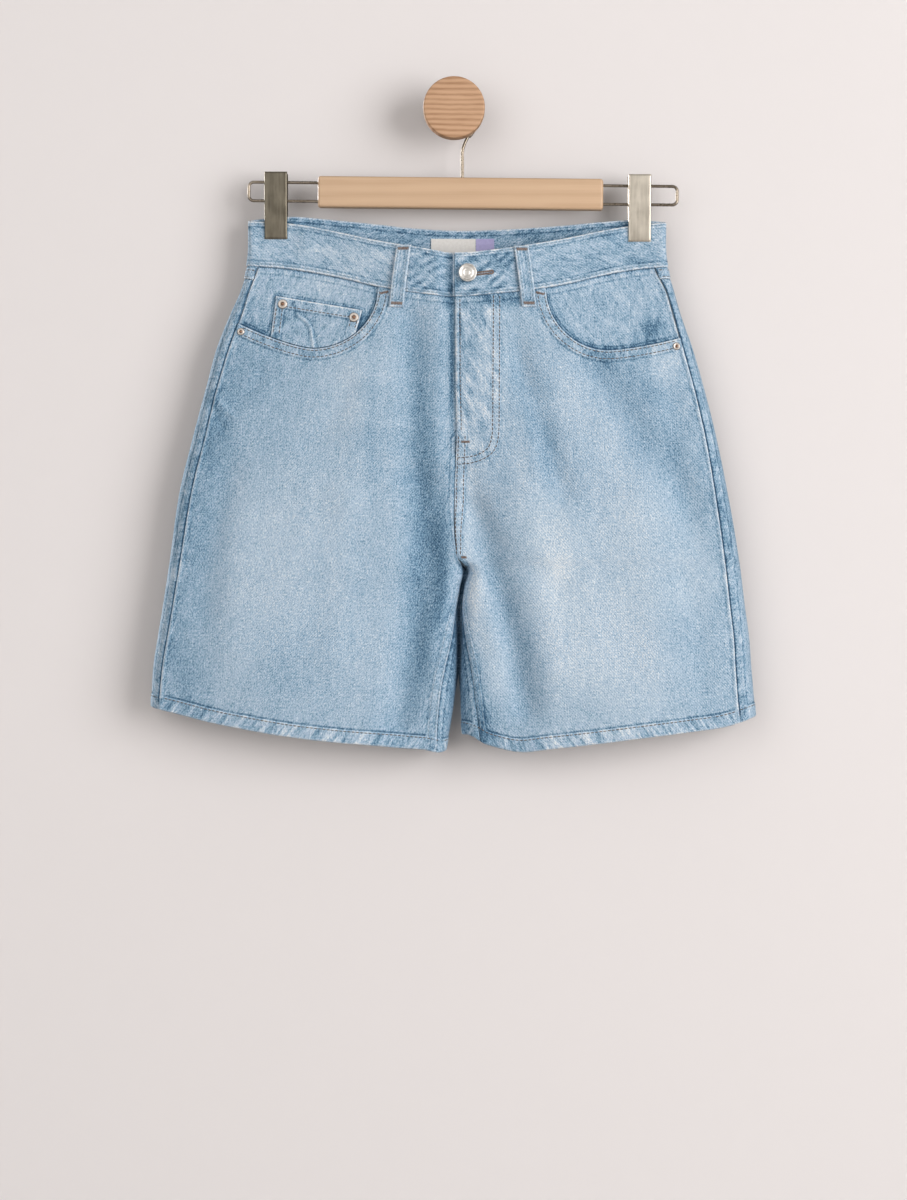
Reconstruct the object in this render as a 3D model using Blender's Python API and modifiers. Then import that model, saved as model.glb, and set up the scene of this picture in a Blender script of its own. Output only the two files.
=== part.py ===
"""Five-pocket denim shorts, clipped by the waistband to a wooden bar hanger on a turned wall peg.

All sizes are in millimetres until a mesh is made, which is in metres. +Z is up, the wall is the plane
y = 0 and the shorts hang in front of it, towards -Y. The origin is the centre of the peg's back face, on the
wall. Right and left are the wearer's: the right leg is at -X.

Every cloth piece is a flat slab of grid cells bent through one surface, the hung garment's outer form. A
place on that surface is a side, a face (front or back), the share q of the way from the inner edge of a
half section to its outer edge, and a height z. A piece's offsets are measured from that surface,
outwards.
"""

import math

import bmesh
import bpy
import numpy as np
from mathutils import Vector

MM = 0.001
RIGHT, LEFT = -1, 1
FRONT, BACK = -1, 1
SIDE_NAMES = {RIGHT: "right", LEFT: "left"}

# Walls, the gap at every seam, and how deep or proud the layers lie.
DENIM = 1.4
DOUBLED_DENIM = 2.6
HEM_DENIM = 2.7
HEM_HEIGHT = 12.0
SEAM_GAP = 0.3
BAND_PROUD = 0.8
PATCH_LIFT = 0.4
PATCH_DENIM = 1.2
COIN_DENIM = 1.1
FACING_DEPTH = DENIM + PATCH_LIFT

# The hung form.
MID_Y = -25.0
BODY_X = 3.0
CROTCH_Z = -411.0
INNER_ROUND = 14.0
CROTCH_BLEND = 60.0
WIDTH_OF_Q = 400.0
OPENING_HALF_SPAN = 160.0
BAND_MID_Z = -147.0
WAIST_SIDE_Z = -141.0
HEM_SIDE_Z = -542.0
HEM_MID_Z = -557.0
HEM_INNER_Z = -569.0
CLIP_X = {RIGHT: -160.0, LEFT: 166.8}
CLIP_TOP_Z = {RIGHT: -56.4, LEFT: -58.7}
PINCH_DEPTH = 1.5
PINCH_REACH = 28.0
PINCH_FULL_Z = -121.0
PINCH_FOOT_Z = -139.0

# Fly and waistband lap.
FLY_BOTTOM_Z = -293.0
FLY_UNDERLAP = 5.0
FLY_SINK = 2.0
LAP_END_X = -1.0
UNDERLAP_END_X = 34.0
UNDERLAP_SINK = 3.0

# Belt loops.
LOOP_WIDTH = 13.0
LOOP_DENIM = 1.8
LOOP_BOW = 1.6

# Hard fittings.
BUTTON_RADIUS = 8.2
BUTTON_PLACE = (12.1, -148.8)
RIVET_RADIUS = 4.4
SIDE_RIVET_RADIUS = 3.4
SIDE_RIVET_DROP = 7.6
SIDE_RIVET_INSET = 5.5
COIN_RIVET_PLACES = {"outer": (-153.6, -175.4), "inner": (-89.4, -187.9)}

# Hanger and peg.
WIRE_RADIUS = 1.35
BAR_SIZE = (256.5, 12.0, 28.0)
BAR_CENTRE = (5.85, MID_Y, -74.9)
BAR_TILT = math.radians(-0.58)
BAR_EDGE = 3.0
WIRE_PITCH = 16.7
WIRE_CORNER = 4.5
WIRE_ENDS = {RIGHT: -185.9, LEFT: 202.3}
CLIP_WIDTH = 20.5
CLIP_LENGTH = 60.0
CLIP_PLATE = 1.0
HOOK_BEND_RADIUS = 20.0
PEG_STEM_RADIUS = 9.0
PEG_STEM_LENGTH = 28.0
PEG_HEAD_RADIUS = 27.6
PEG_HEAD_THICKNESS = 16.0
PEG_EDGE = 1.6


def table(names, *rows):
    """Rows under named columns, as arrays in rising order of the first column."""
    columns = np.array(sorted(rows), float).T
    return dict(zip(names.split(), columns))


# How far each half reaches. strip is how much of the back panel shows beyond the outseam, seen from the
# front, and turn how much of it shows beyond the inseam.
OUTLINE = table(
    "z  outer_right outer_left  strip_right strip_left  inner_right inner_left  turn_right turn_left",
    (-95, -184.5, 190.5, 12.0, 13.0, 0.9, 0.9, 0, 0),
    (-133, -185.4, 190.8, 12.0, 13.0, 0.9, 0.9, 0, 0),
    (-147, -187.5, 193.5, 9.5, 11.0, 0.9, 0.9, 0, 0),
    (-163, -192.0, 198.0, 8.0, 7.5, 0.9, 0.9, 0, 0),
    (-181, -200.0, 203.0, 10.5, 7.0, 1.0, 1.0, 0, 0),
    (-214, -213.3, 214.5, 12.0, 9.5, 1.1, 1.1, 0, 0),
    (-247, -222.3, 224.1, 11.0, 10.0, 1.2, 1.2, 0, 0),
    (-297, -235.6, 236.6, 12.0, 11.0, 2.2, 2.2, 0, 0),
    (-342, -246.6, 245.8, 12.0, 12.5, 0.6, 0.6, 0, 0),
    (-391, -253.8, 254.4, 11.0, 14.0, 1.5, 1.8, 0, 0),
    (-403, -255.4, 256.2, 10.8, 14.2, 3.6, 4.8, 0, 0),
    (-411, -256.5, 257.4, 10.6, 14.4, 7.6, 11.8, 0.1, 0.1),
    (-429, -259.3, 259.6, 10.4, 14.6, 5.2, 9.4, 0.1, 0.1),
    (-447, -262.0, 261.8, 10.2, 14.8, 2.6, 7.2, 0.3, 0.3),
    (-475, -266.6, 265.6, 10.0, 15.4, 2.8, 6.8, 4.5, 3.4),
    (-500, -270.4, 267.4, 9.6, 15.8, 2.6, 5.9, 10.0, 9.0),
    (-525, -272.0, 269.6, 8.8, 16.2, 1.0, 5.7, 13.2, 12.8),
    (-550, -272.2, 271.6, 7.6, 16.0, -2.6, 6.6, 12.0, 15.0),
    (-582, -272.4, 273.0, 7.0, 15.6, -8.6, 11.0, 7.6, 14.0),
)

# Depth of the cloth in front of and behind the mid plane: at the side folds, what the opened waist adds
# at the middle, what a leg's crown adds, and the radius of the side fold.
DEPTH = table(
    "z  edge_front open_front leg_front  edge_back open_back leg_back  fold",
    (-95, 4.0, 14.0, 0.0, 4.0, 9.0, 0.0, 4.6),
    (-122, 4.3, 14.5, 0.0, 4.3, 8.5, 0.0, 4.8),
    (-147, 6.0, 13.5, 1.0, 6.0, 7.0, 0.5, 6.0),
    (-197, 9.0, 11.0, 4.5, 8.0, 5.5, 2.5, 9.0),
    (-277, 11.5, 8.0, 7.5, 9.5, 4.0, 4.5, 11.0),
    (-357, 13.0, 4.5, 9.5, 10.5, 2.5, 6.0, 12.0),
    (-411, 14.0, 2.0, 10.5, 11.0, 1.0, 7.0, 12.0),
    (-497, 15.0, 0.0, 11.5, 11.0, 0.0, 8.5, 12.0),
    (-582, 15.5, 0.0, 12.0, 11.0, 0.0, 8.5, 12.0),
)

# The waistband's top edge and the seam under it, by x, at the front and at the back.
WAIST = table(
    "x  top_front seam_front  top_back seam_back",
    (-190, -100.0, -140.0, -100.0, -140.0),
    (-148, -102.3, -143.3, -95.8, -136.5),
    (-102, -111.0, -151.8, -99.0, -139.0),
    (-68, -118.8, -160.2, -102.0, -142.0),
    (-38, -124.0, -165.4, -105.0, -145.5),
    (0, -129.8, -169.4, -107.0, -147.5),
    (37, -127.0, -166.8, -106.5, -147.0),
    (67, -122.4, -163.4, -105.2, -146.0),
    (104, -115.4, -156.8, -102.8, -143.0),
    (134, -108.8, -149.2, -100.2, -140.5),
    (163, -103.8, -143.8, -98.8, -139.0),
    (195, -101.0, -141.0, -101.0, -141.0),
)

# The hem's lower edge, by x.
HEM = table(
    "x  z",
    (-273, -536.5),
    (-252, -541.5),
    (-220, -549.6),
    (-187, -556.2),
    (-155, -561.8),
    (-112, -567.2),
    (-68, -571.0),
    (-30, -574.2),
    (-5, -574.8),
    (7, -562.2),
    (29, -570.0),
    (61, -576.6),
    (83, -574.2),
    (126, -569.4),
    (169, -564.0),
    (212, -558.6),
    (245, -553.6),
    (273, -544.4),
)

# Each pocket mouth: its corner on the waistband seam, its lowest place, its end height at the outseam and
# how sharply the outer stretch rises.
MOUTHS = {
    RIGHT: {"corner_x": -67.7, "low_x": -126.5, "low_z": -216.0, "end_z": -192.7, "rise": 1.4},
    LEFT: {"corner_x": 82.2, "low_x": 138.0, "low_z": -217.3, "end_z": -205.8, "rise": 1.5},
}
FACING_REACH = 20.0
FACING_INSET = 8.0
FACING_INNER_Z = -209.0

# The largest folds: a soft trough (negative) or ridge along a line from start to end.
FOLDS = table(
    "face  x_start z_start  x_end z_end  height width",
    (FRONT, -41, -197, -37, -327, -3.2, 15),
    (FRONT, -9, -437, -50, -547, -4.0, 15),
    (FRONT, 19, -372, 68, -527, -4.5, 14),
    (FRONT, 78, -242, 101, -349, -2.4, 13),
    (FRONT, -120, -327, -160, -517, 2.6, 34),
    (FRONT, 120, -327, 150, -517, 2.6, 34),
    (BACK, -20, -357, -70, -517, -3.2, 16),
    (BACK, 24, -347, 76, -512, -3.6, 17),
    (BACK, -115, -397, -150, -507, -2.2, 20),
    (BACK, 130, -392, 165, -497, -2.0, 18),
)

# Back yoke seam and patch pockets, as distances from the centre back.
YOKE_SIDE_Z = -152.0
YOKE_DROP = 53.0
YOKE_HALF_SPAN = 188.0
BACK_POCKET = {
    "inner_top": (33, -218),
    "outer_top": (170, -187),
    "outer_low": (157, -329),
    "tip": (101, -359),
    "inner_low": (46, -347),
}

# Coin pocket, on the right facing: its upper corners and where its sides meet the pocket mouth.
COIN_TOP = {"outer": (-159.5, -168.0), "inner": (-82.0, -181.5)}
COIN_LOW_X = {"outer": -165.0, "inner": -88.0}
COIN_MOUTH_GAP = 1.0

# Where the grid lines lie: heights down the panels' inner edges, and shares across the front and back
# pieces, close together at the fly's foot, the crotch and where the cloth turns round the leg's edges.
PANEL_ROWS = np.r_[
    np.arange(-187, -277, -20),
    FLY_BOTTOM_Z + np.array([4, -4, -12, -26]),
    np.arange(-337, -389, -18),
    np.arange(-399, -447, -9),
    np.arange(-453, -497, -11),
    np.arange(-505, -557, -16),
]
FRONT_COLUMNS = np.r_[0, 0.014, 0.034, 0.07, np.linspace(0.12, 1, 15)]
BACK_COLUMNS = np.r_[np.linspace(0, 0.09, 5), np.linspace(0.14, 0.86, 13), np.linspace(0.89, 1, 8)]

# Belt loops: face, x at the top and x at the foot.
LOOPS = {
    "front_right": (FRONT, -44.6, -51.7),
    "front_left": (FRONT, 59.9, 67.2),
    "back_right": (BACK, -108.0, -112.0),
    "back_left": (BACK, 112.0, 116.0),
    "centre_back": (BACK, 1.0, 1.0),
}
LOOP_PAST_SEAM = 15.5

# Bare label inside the back waistband: each part's name and the x range that it covers.
LABEL_PARTS = {"pale": (-20.7, 19.6), "lilac": (19.9, 36.4)}
LABEL_TOP_Z = -114.5
LABEL_LOW_Z = -143.0
LABEL_CLOTH = 0.8

# A clip plate's side profile, from its thumb end to its jaw: how far down it, the plate's inner face and
# the flange's edge, as distances from the mid plane.
CLIP_PROFILE = table(
    "down  plate flange",
    (0, 9.0, 7.6),
    (8, 8.8, 4.4),
    (20, 8.2, WIRE_RADIUS + 0.35),
    (30, 7.6, WIRE_RADIUS + 0.35),
    (38, 6.8, 3.8),
    (60, 5.1, 4.1),
)

# Hook wire from the bar's top to the tip behind the peg's head, before the arc: (x, z).
HOOK_STEM = (
    (7.6, -60.6),
    (7.6, -49.0),
    (7.6, -39.0),
    (7.9, -35.2),
    (9.0, -31.4),
    (10.9, -27.0),
    (12.6, -23.8),
)
HOOK_ARC_ANGLES = (math.radians(-46.0), math.radians(206.0))
HOOK_ARC_STEPS = 22

# Principled material values: colour (linear), roughness, metallic.
MATERIALS = {
    "denim": ((0.42, 0.54, 0.65), 0.9, 0.0),
    "facing_denim": ((0.36, 0.50, 0.62), 0.9, 0.0),
    "label_pale": ((0.85, 0.84, 0.80), 0.8, 0.0),
    "label_lilac": ((0.55, 0.52, 0.68), 0.8, 0.0),
    "button_metal": ((0.72, 0.72, 0.70), 0.3, 1.0),
    "rivet_copper": ((0.62, 0.38, 0.26), 0.4, 1.0),
    "dark_nickel": ((0.16, 0.15, 0.12), 0.4, 1.0),
    "pale_nickel": ((0.55, 0.51, 0.42), 0.35, 1.0),
    "wire": ((0.35, 0.33, 0.31), 0.35, 1.0),
    "beech": ((0.66, 0.43, 0.26), 0.5, 0.0),
    "oiled_wood": ((0.58, 0.33, 0.18), 0.55, 0.0),
}


def along(rows, column, at):
    """A table's column as a smooth curve through its rows: cubic pieces with the slopes of their
    neighbours."""
    key = next(iter(rows.values()))
    value = rows[column]
    at = np.clip(at, key[0], key[-1])
    slope = np.gradient(value, key)
    low = np.clip(np.searchsorted(key, at, "right") - 1, 0, len(key) - 2)
    span = key[low + 1] - key[low]
    t = (at - key[low]) / span
    start = (1 + 2 * t) * (1 - t) ** 2 * value[low] + t * (1 - t) ** 2 * span * slope[low]
    end = t * t * (3 - 2 * t) * value[low + 1] + t * t * (t - 1) * span * slope[low + 1]
    return start + end


def outline(column, side, z):
    return np.where(side > 0, along(OUTLINE, column + "_left", z), along(OUTLINE, column + "_right", z))


def depth_column(column, face, z):
    return np.where(face > 0, along(DEPTH, column + "_back", z), along(DEPTH, column + "_front", z))


def smooth(low, high, value):
    """0 at low, 1 at high, with level ends."""
    t = np.clip((value - low) / (high - low), 0, 1)
    return t * t * (3 - 2 * t)


def half_section(side, z):
    """A half section's inner edge x, width, inner and outer rounding and the length of cloth across it."""
    inner = outline("inner", side, z)
    width = np.abs(outline("outer", side, z) - inner)
    near_crotch = np.clip((CROTCH_Z + CROTCH_BLEND - z) / CROTCH_BLEND, 0.03, 1)
    turn = INNER_ROUND * near_crotch
    fold = along(DEPTH, "fold", z)
    return inner, width, turn, fold, width + (math.pi / 2 - 1) * (turn + fold)


def folds(face, x, z):
    """The sum of the largest folds: each falls off like a bell with the distance from its line."""
    total = np.zeros(np.broadcast(face, x, z).shape)
    for row in zip(*FOLDS.values()):
        on_face, x0, z0, x1, z1, height, width = row
        run = np.array([x1 - x0, z1 - z0])
        share = np.clip(((x - x0) * run[0] + (z - z0) * run[1]) / run.dot(run), 0, 1)
        away = np.hypot(x - x0 - share * run[0], z - z0 - share * run[1])
        total += np.where(face == on_face, height * np.exp(-((away / width) ** 2)), 0)
    return total


def fullness(face, x, share, z):
    """How far the cloth stands from the mid plane: side depth, opened waist, leg crown and clip
    pinches."""
    reach = np.minimum(np.abs(x - BODY_X) / OPENING_HALF_SPAN, 1)
    opened = depth_column("open", face, z) * np.cos(reach * math.pi / 2) ** 2
    crown = depth_column("leg", face, z) * np.sin(math.pi * np.clip(share, 0, 1))
    pinch = 0
    for clip_x in CLIP_X.values():
        pinch = pinch + PINCH_DEPTH * (1 - smooth(PINCH_REACH / 2, PINCH_REACH, np.abs(x - clip_x)))
    pinch = pinch * smooth(PINCH_FOOT_Z, PINCH_FULL_Z, z)
    return depth_column("edge", face, z) + opened + crown - pinch


def surface(side, face, q, z):
    """Points of the hung garment's outer form, in mm. q past 1 turns on to the other face; below the
    crotch, so does q under 0, and above it q under 0 runs on past the centre line."""
    side, face, q, z = np.broadcast_arrays(side, face, np.asarray(q, float), np.asarray(z, float))
    inner, width, turn, fold, length = half_section(side, z)
    in_leg = z < CROTCH_Z
    face = np.where((q > 1) | (in_leg & (q < 0)), -face, face)
    way = np.where(~in_leg & (q < 0), -1.0, 1.0)
    s = np.abs(np.where(q > 1, 2 - q, q)) * length
    from_outer = np.minimum((length - s) / fold, math.pi / 2)
    from_inner = np.minimum(s / turn, math.pi / 2)
    near = turn * (1 - np.cos(from_inner)) + np.maximum(s - turn * math.pi / 2, 0)
    across = np.where(from_outer < math.pi / 2, width - fold * (1 - np.cos(from_outer)), near) * way
    above = np.maximum(z - CROTCH_Z, 0)
    reach = np.minimum(np.hypot(across, above) / INNER_ROUND, 1)
    rounding = np.sqrt(1 - (1 - reach) ** 2) * np.sin(from_outer)
    x = inner + side * across
    depth = (fullness(face, x, np.abs(across) / width, z) + folds(face, x, z)) * rounding
    fly = (face == FRONT) & (side == RIGHT)
    sunk = FLY_SINK * smooth(-16, -5, x) * smooth(FLY_BOTTOM_Z - 26, FLY_BOTTOM_Z - 12, z)
    depth = depth - np.where(fly, sunk, 0)
    return np.stack([x, MID_Y + face * depth, z], axis=-1)


def outward(side, face, q, z, point_at=surface):
    """Unit normals of the form, pointing out of the garment, from central differences."""
    step_q, step_z = 1e-4, 0.02
    across = point_at(side, face, q + step_q, z) - point_at(side, face, q - step_q, z)
    up = point_at(side, face, q, z + step_z) - point_at(side, face, q, z - step_z)
    normal = np.cross(across, up) * -(side * face * np.ones(np.shape(q)))[..., None]
    return normal / np.linalg.norm(normal, axis=-1, keepdims=True)


def q_at(side, x, z):
    """The share q of the way across the half section at which the form's surface is at this x."""
    inner, width, turn, fold, length = half_section(side, z)
    across = side * (np.asarray(x, float) - inner)
    near = np.arccos(np.clip(1 - np.abs(across) / turn, -1, 1)) * turn
    s = np.where(np.abs(across) < turn, near, np.abs(across) + (math.pi / 2 - 1) * turn) * np.sign(across)
    end = np.arccos(np.clip(1 - (width - across) / fold, -1, 1)) * fold
    return np.where(across > width - fold, length - end, s) / length


def outseam_q(side, z):
    """Where the outseam runs on the front face."""
    return q_at(side, outline("outer", side, z) - side * outline("strip", side, z), z)


def inseam_q(side, z):
    """Where the inseam runs on the front face, below the crotch."""
    return q_at(side, outline("inner", side, z) + side * np.maximum(outline("turn", side, z), 0), z)


def seam_gap_q(side, z):
    """Half a seam's gap, as a share of the half section."""
    return SEAM_GAP / 2 / half_section(side, z)[-1]


def waist_z(edge, face, x):
    return along(WAIST, edge + ("_front" if face == FRONT else "_back"), x)


def strip_of_girth(girth):
    """Side, face and q of a place round the waist: 0 to 4 from the centre front by the left side, the
    centre back and the right side to the centre front again. Under 0 and over 4 it runs on past the
    centre front."""
    side = np.where((girth >= 0) & (girth < 2) | (girth >= 4), LEFT, RIGHT)
    face = np.where((girth >= 1) & (girth < 3), BACK, FRONT)
    q = np.select(
        [girth < 0, girth < 1, girth < 2, girth < 3, girth < 4],
        [-girth, girth, 2 - girth, girth - 2, 4 - girth],
        girth - 4,
    )
    return side, face, q


def waist_edge_z(edge, girth):
    """Height of the waistband's top edge or seam at a place round the waist."""
    side, face, q = strip_of_girth(girth)
    z = np.full(np.shape(q), BAND_MID_Z)
    for _ in range(3):
        x = surface(side, face, q, z)[..., 0]
        z = np.where(face == FRONT, waist_z(edge, FRONT, x), waist_z(edge, BACK, x))
    return z


def coons(top, bottom, start, end, u, v):
    """A patch filled between four borders: the two blends across, less the blend of the corners."""
    top, bottom, start, end = (np.asarray(border) for border in (top, bottom, start, end))
    u, v = u[..., None], v[..., None]
    corners = (1 - v) * ((1 - u) * top[0] + u * top[-1]) + v * ((1 - u) * bottom[0] + u * bottom[-1])
    across = (1 - v) * pick(top, u) + v * pick(bottom, u)
    down = (1 - u) * pick(start, v) + u * pick(end, v)
    return across + down - corners


def pick(border, share):
    """Points at a share of the way along a border that is given by evenly spaced points."""
    at = np.linspace(0, 1, len(border))
    return np.stack([np.interp(share[..., 0], at, border[:, k]) for k in range(border.shape[1])], axis=-1)


def evenly(points, count=161):
    """The same path by evenly spaced points."""
    points = np.asarray(points, float)
    run = np.concatenate([[0], np.cumsum(np.linalg.norm(np.diff(points, axis=0), axis=1))])
    at = np.linspace(0, run[-1], count)
    return np.stack([np.interp(at, run, points[:, k]) for k in range(points.shape[1])], axis=-1)


def material(name):
    made = bpy.data.materials.get(name)
    if made is None:
        colour, roughness, metallic = MATERIALS[name]
        made = bpy.data.materials.new(name)
        made.use_nodes = True
        shader = made.node_tree.nodes["Principled BSDF"]
        shader.inputs["Base Color"].default_value = (*colour, 1)
        shader.inputs["Roughness"].default_value = roughness
        shader.inputs["Metallic"].default_value = metallic
        made.diffuse_color = (*colour, 1)
    return made


def add_object(name, mesh, finish):
    obj = bpy.data.objects.new(name, mesh)
    mesh.materials.append(material(finish))
    bpy.data.collections["denim_shorts"].objects.link(obj)
    return obj


def slab(name, columns, rows, wall, finish):
    """A flat slab of grid cells bent into a wall. columns and rows are the shares at which its grid lines
    lie, and wall(u, v, layer) gives points in mm: layer 0 is the inner face and layer 1 the outer one."""
    bm = bmesh.new()
    bmesh.ops.create_grid(bm, x_segments=len(columns) - 1, y_segments=len(rows) - 1, size=0.5)
    raised = bmesh.ops.extrude_face_region(bm, geom=bm.faces[:], use_keep_orig=True)["geom"]
    upper = [item for item in raised if isinstance(item, bmesh.types.BMVert)]
    bmesh.ops.translate(bm, verts=upper, vec=(0, 0, 1))
    bmesh.ops.recalc_face_normals(bm, faces=bm.faces)
    flat = np.array([vert.co for vert in bm.verts])
    u = np.asarray(columns)[np.rint((flat[:, 0] + 0.5) * (len(columns) - 1)).astype(int)]
    v = np.asarray(rows)[np.rint((flat[:, 1] + 0.5) * (len(rows) - 1)).astype(int)]
    points = wall(u, v, np.rint(flat[:, 2])) * MM
    for vert, point in zip(bm.verts, points):
        vert.co = point
    if bm.calc_volume(signed=True) < 0:
        bmesh.ops.reverse_faces(bm, faces=bm.faces)
    mesh = bpy.data.meshes.new(name)
    bm.to_mesh(mesh)
    bm.free()
    mesh.shade_smooth()
    mesh.set_sharp_from_angle(angle=math.radians(40))
    return add_object(name, mesh, finish)


def cloth_wall(side, face, place, low, high):
    """The wall of a piece on one side and face: place(u, v) gives q and z, and low and high are its
    offsets."""

    def wall(u, v, layer):
        q, z = np.moveaxis(place(u, v), -1, 0)
        inner = low(u, v) if callable(low) else low
        outer = high(u, v) if callable(high) else high
        lift = inner + (outer - inner) * layer
        return surface(side, face, q, z) + outward(side, face, q, z) * lift[..., None]

    return wall


def mouth_path(side, count=81):
    """The scooped pocket mouth as (x, z) points: a quarter ellipse down from its corner, then a rise to
    the outseam."""
    mouth = MOUTHS[side]
    corner_z = waist_z("seam", FRONT, mouth["corner_x"]) - SEAM_GAP
    turn = np.linspace(0, math.pi / 2, count)
    arc_x = mouth["low_x"] + (mouth["corner_x"] - mouth["low_x"]) * np.cos(turn)
    arc_z = corner_z + (mouth["low_z"] - corner_z) * np.sin(turn)
    end_x = surface(side, FRONT, outseam_q(side, mouth["end_z"]), mouth["end_z"])[0]
    share = shares(count)[1:]
    rise_x = mouth["low_x"] + (end_x - mouth["low_x"]) * share
    rise_z = mouth["low_z"] + (mouth["end_z"] - mouth["low_z"]) * share ** mouth["rise"]
    return evenly(np.stack([np.r_[arc_x, rise_x], np.r_[arc_z, rise_z]], axis=-1))


def to_q(side, path):
    """(x, z) points as (q, z) points."""
    return np.stack([q_at(side, path[:, 0], path[:, 1]), path[:, 1]], axis=-1)


def hem_height(x):
    return along(HEM, "z", x)


def hem_border(side, face, q_start, q_end, count=121):
    """The hem as (q, z) points between two places across the leg."""
    q = np.linspace(q_start, q_end, count)
    z = hem_height(surface(side, face, q, np.full(count, HEM_MID_Z))[:, 0])
    return np.stack([q, hem_height(surface(side, face, q, z)[:, 0])], axis=-1)


def hem_wall(rows):
    """The inner offset of a panel that ends in a turned-up hem: thicker over its last row of cells."""

    def low(u, v):
        return np.where(v > (rows[-3] + rows[-2]) / 2, -HEM_DENIM, -DENIM)

    return low


def shares(count):
    return np.linspace(0, 1, count)


def panel_rows(top_z, low_z):
    """Shares down a panel's inner edge of the heights in PANEL_ROWS that lie on it, so that panels which
    meet there have their grid lines at the same heights, and of the hem fold's upper edge."""
    inside = PANEL_ROWS[(PANEL_ROWS < top_z - 8) & (PANEL_ROWS > low_z + HEM_HEIGHT + 8)]
    heights = np.r_[top_z, inside, low_z + HEM_HEIGHT + 2, low_z + HEM_HEIGHT, low_z]
    return (top_z - heights) / (top_z - low_z)


def front_panel(side):
    """Between the centre front and inseam, the waistband seam and pocket mouth, the outseam and the
    hem."""
    mouth = MOUTHS[side]
    start_x = outline("inner", side, BAND_MID_Z) + side * (SEAM_GAP / 2 - (side == RIGHT) * FLY_UNDERLAP)
    seam_x = np.linspace(start_x, mouth["corner_x"], 60)
    seam = np.stack([seam_x, waist_z("seam", FRONT, seam_x) - SEAM_GAP], axis=-1)
    run = np.concatenate([to_q(side, seam), to_q(side, mouth_path(side))])
    top = evenly(run * (WIDTH_OF_Q, 1)) / (WIDTH_OF_Q, 1)
    hem_end_x = outline("outer", side, HEM_SIDE_Z) - side * outline("strip", side, HEM_SIDE_Z)
    end_z = np.linspace(mouth["end_z"], hem_height(hem_end_x), 81)
    end = np.stack([outseam_q(side, end_z) - seam_gap_q(side, end_z), end_z], axis=-1)
    top[-1] = end[0]
    hem_start = inseam_q(side, HEM_INNER_Z) + seam_gap_q(side, HEM_INNER_Z)
    bottom = hem_border(side, FRONT, hem_start, end[-1, 0])
    end[-1] = bottom[-1]
    start_z = np.linspace(top[0, 1], bottom[0, 1], 241)
    lap = 0 * start_z
    if side == RIGHT:
        lap = FLY_UNDERLAP * smooth(FLY_BOTTOM_Z - 4, FLY_BOTTOM_Z + 4, start_z)
    centre = outline("inner", side, start_z) - side * lap + side * SEAM_GAP / 2
    start_q = np.where(start_z > CROTCH_Z, q_at(side, centre, start_z), inseam_q(side, start_z))
    start_q = np.where(start_z > CROTCH_Z, start_q, start_q + seam_gap_q(side, start_z))
    start = np.stack([start_q, start_z], axis=-1)
    top[0], start[-1] = start[0], bottom[0]

    def place(u, v):
        return coons(top, bottom, start, end, u, v)

    rows = panel_rows(start_z[0], start_z[-1])
    wall = cloth_wall(side, FRONT, place, hem_wall(rows), 0.0)
    slab(f"front_panel_{SIDE_NAMES[side]}", FRONT_COLUMNS, rows, wall, "denim")


def pocket_facing(side):
    """The denim behind the pocket mouth, from the waistband seam and the outseam to a little past the
    mouth."""
    mouth = MOUTHS[side]
    inner_x = mouth["corner_x"] - side * FACING_INSET
    seam_end_x = surface(side, FRONT, outseam_q(side, WAIST_SIDE_Z), WAIST_SIDE_Z)[0]
    seam_x = np.linspace(inner_x, seam_end_x, 60)
    top = to_q(side, np.stack([seam_x, waist_z("seam", FRONT, seam_x) - SEAM_GAP], axis=-1))
    low_z = mouth["end_z"] - FACING_REACH
    end_z = np.linspace(top[-1, 1], low_z, 41)
    end = np.stack([outseam_q(side, end_z) - 2.5 * seam_gap_q(side, end_z), end_z], axis=-1)
    top[-1] = end[0]
    start = to_q(side, evenly([(inner_x, top[0, 1]), (inner_x, FACING_INNER_Z)]))
    share = shares(61)
    low_x = inner_x + (surface(side, FRONT, end[-1, 0], low_z)[0] - inner_x) * share
    sag = (mouth["low_z"] - FACING_REACH - FACING_INNER_Z) * np.sin(math.pi * share)
    bottom_z = FACING_INNER_Z + (low_z - FACING_INNER_Z) * share + sag
    bottom = to_q(side, np.stack([low_x, bottom_z], axis=-1))
    bottom[0], bottom[-1] = start[-1], end[-1]

    def place(u, v):
        return coons(top, bottom, start, end, u, v)

    wall = cloth_wall(side, FRONT, place, -FACING_DEPTH - PATCH_DENIM, -FACING_DEPTH)
    slab(f"pocket_facing_{SIDE_NAMES[side]}", shares(13), shares(8), wall, "facing_denim")


def coin_pocket():
    """A patch on the right facing, from its folded top edge down to the pocket mouth."""
    mouth = mouth_path(RIGHT) + (0, COIN_MOUTH_GAP)
    inside = (mouth[:, 0] < COIN_LOW_X["inner"]) & (mouth[:, 0] > COIN_LOW_X["outer"])
    bottom = to_q(RIGHT, evenly(mouth[inside]))
    top = to_q(RIGHT, evenly([COIN_TOP["inner"], COIN_TOP["outer"]]))
    start = to_q(RIGHT, evenly([COIN_TOP["inner"], mouth[inside][0]]))
    end = to_q(RIGHT, evenly([COIN_TOP["outer"], mouth[inside][-1]]))

    def place(u, v):
        return coons(top, bottom, start, end, u, v)

    low = -FACING_DEPTH + PATCH_LIFT
    wall = cloth_wall(RIGHT, FRONT, place, low, low + COIN_DENIM)
    slab("coin_pocket", shares(8), shares(5), wall, "facing_denim")


def yoke_z(x):
    """The yoke's seam: high at the sides and lowest at the centre back."""
    share = np.clip(np.abs(np.asarray(x) - 1) / YOKE_HALF_SPAN, 0, 1)
    return YOKE_SIDE_Z - YOKE_DROP * (1 - share) ** 1.1


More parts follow.
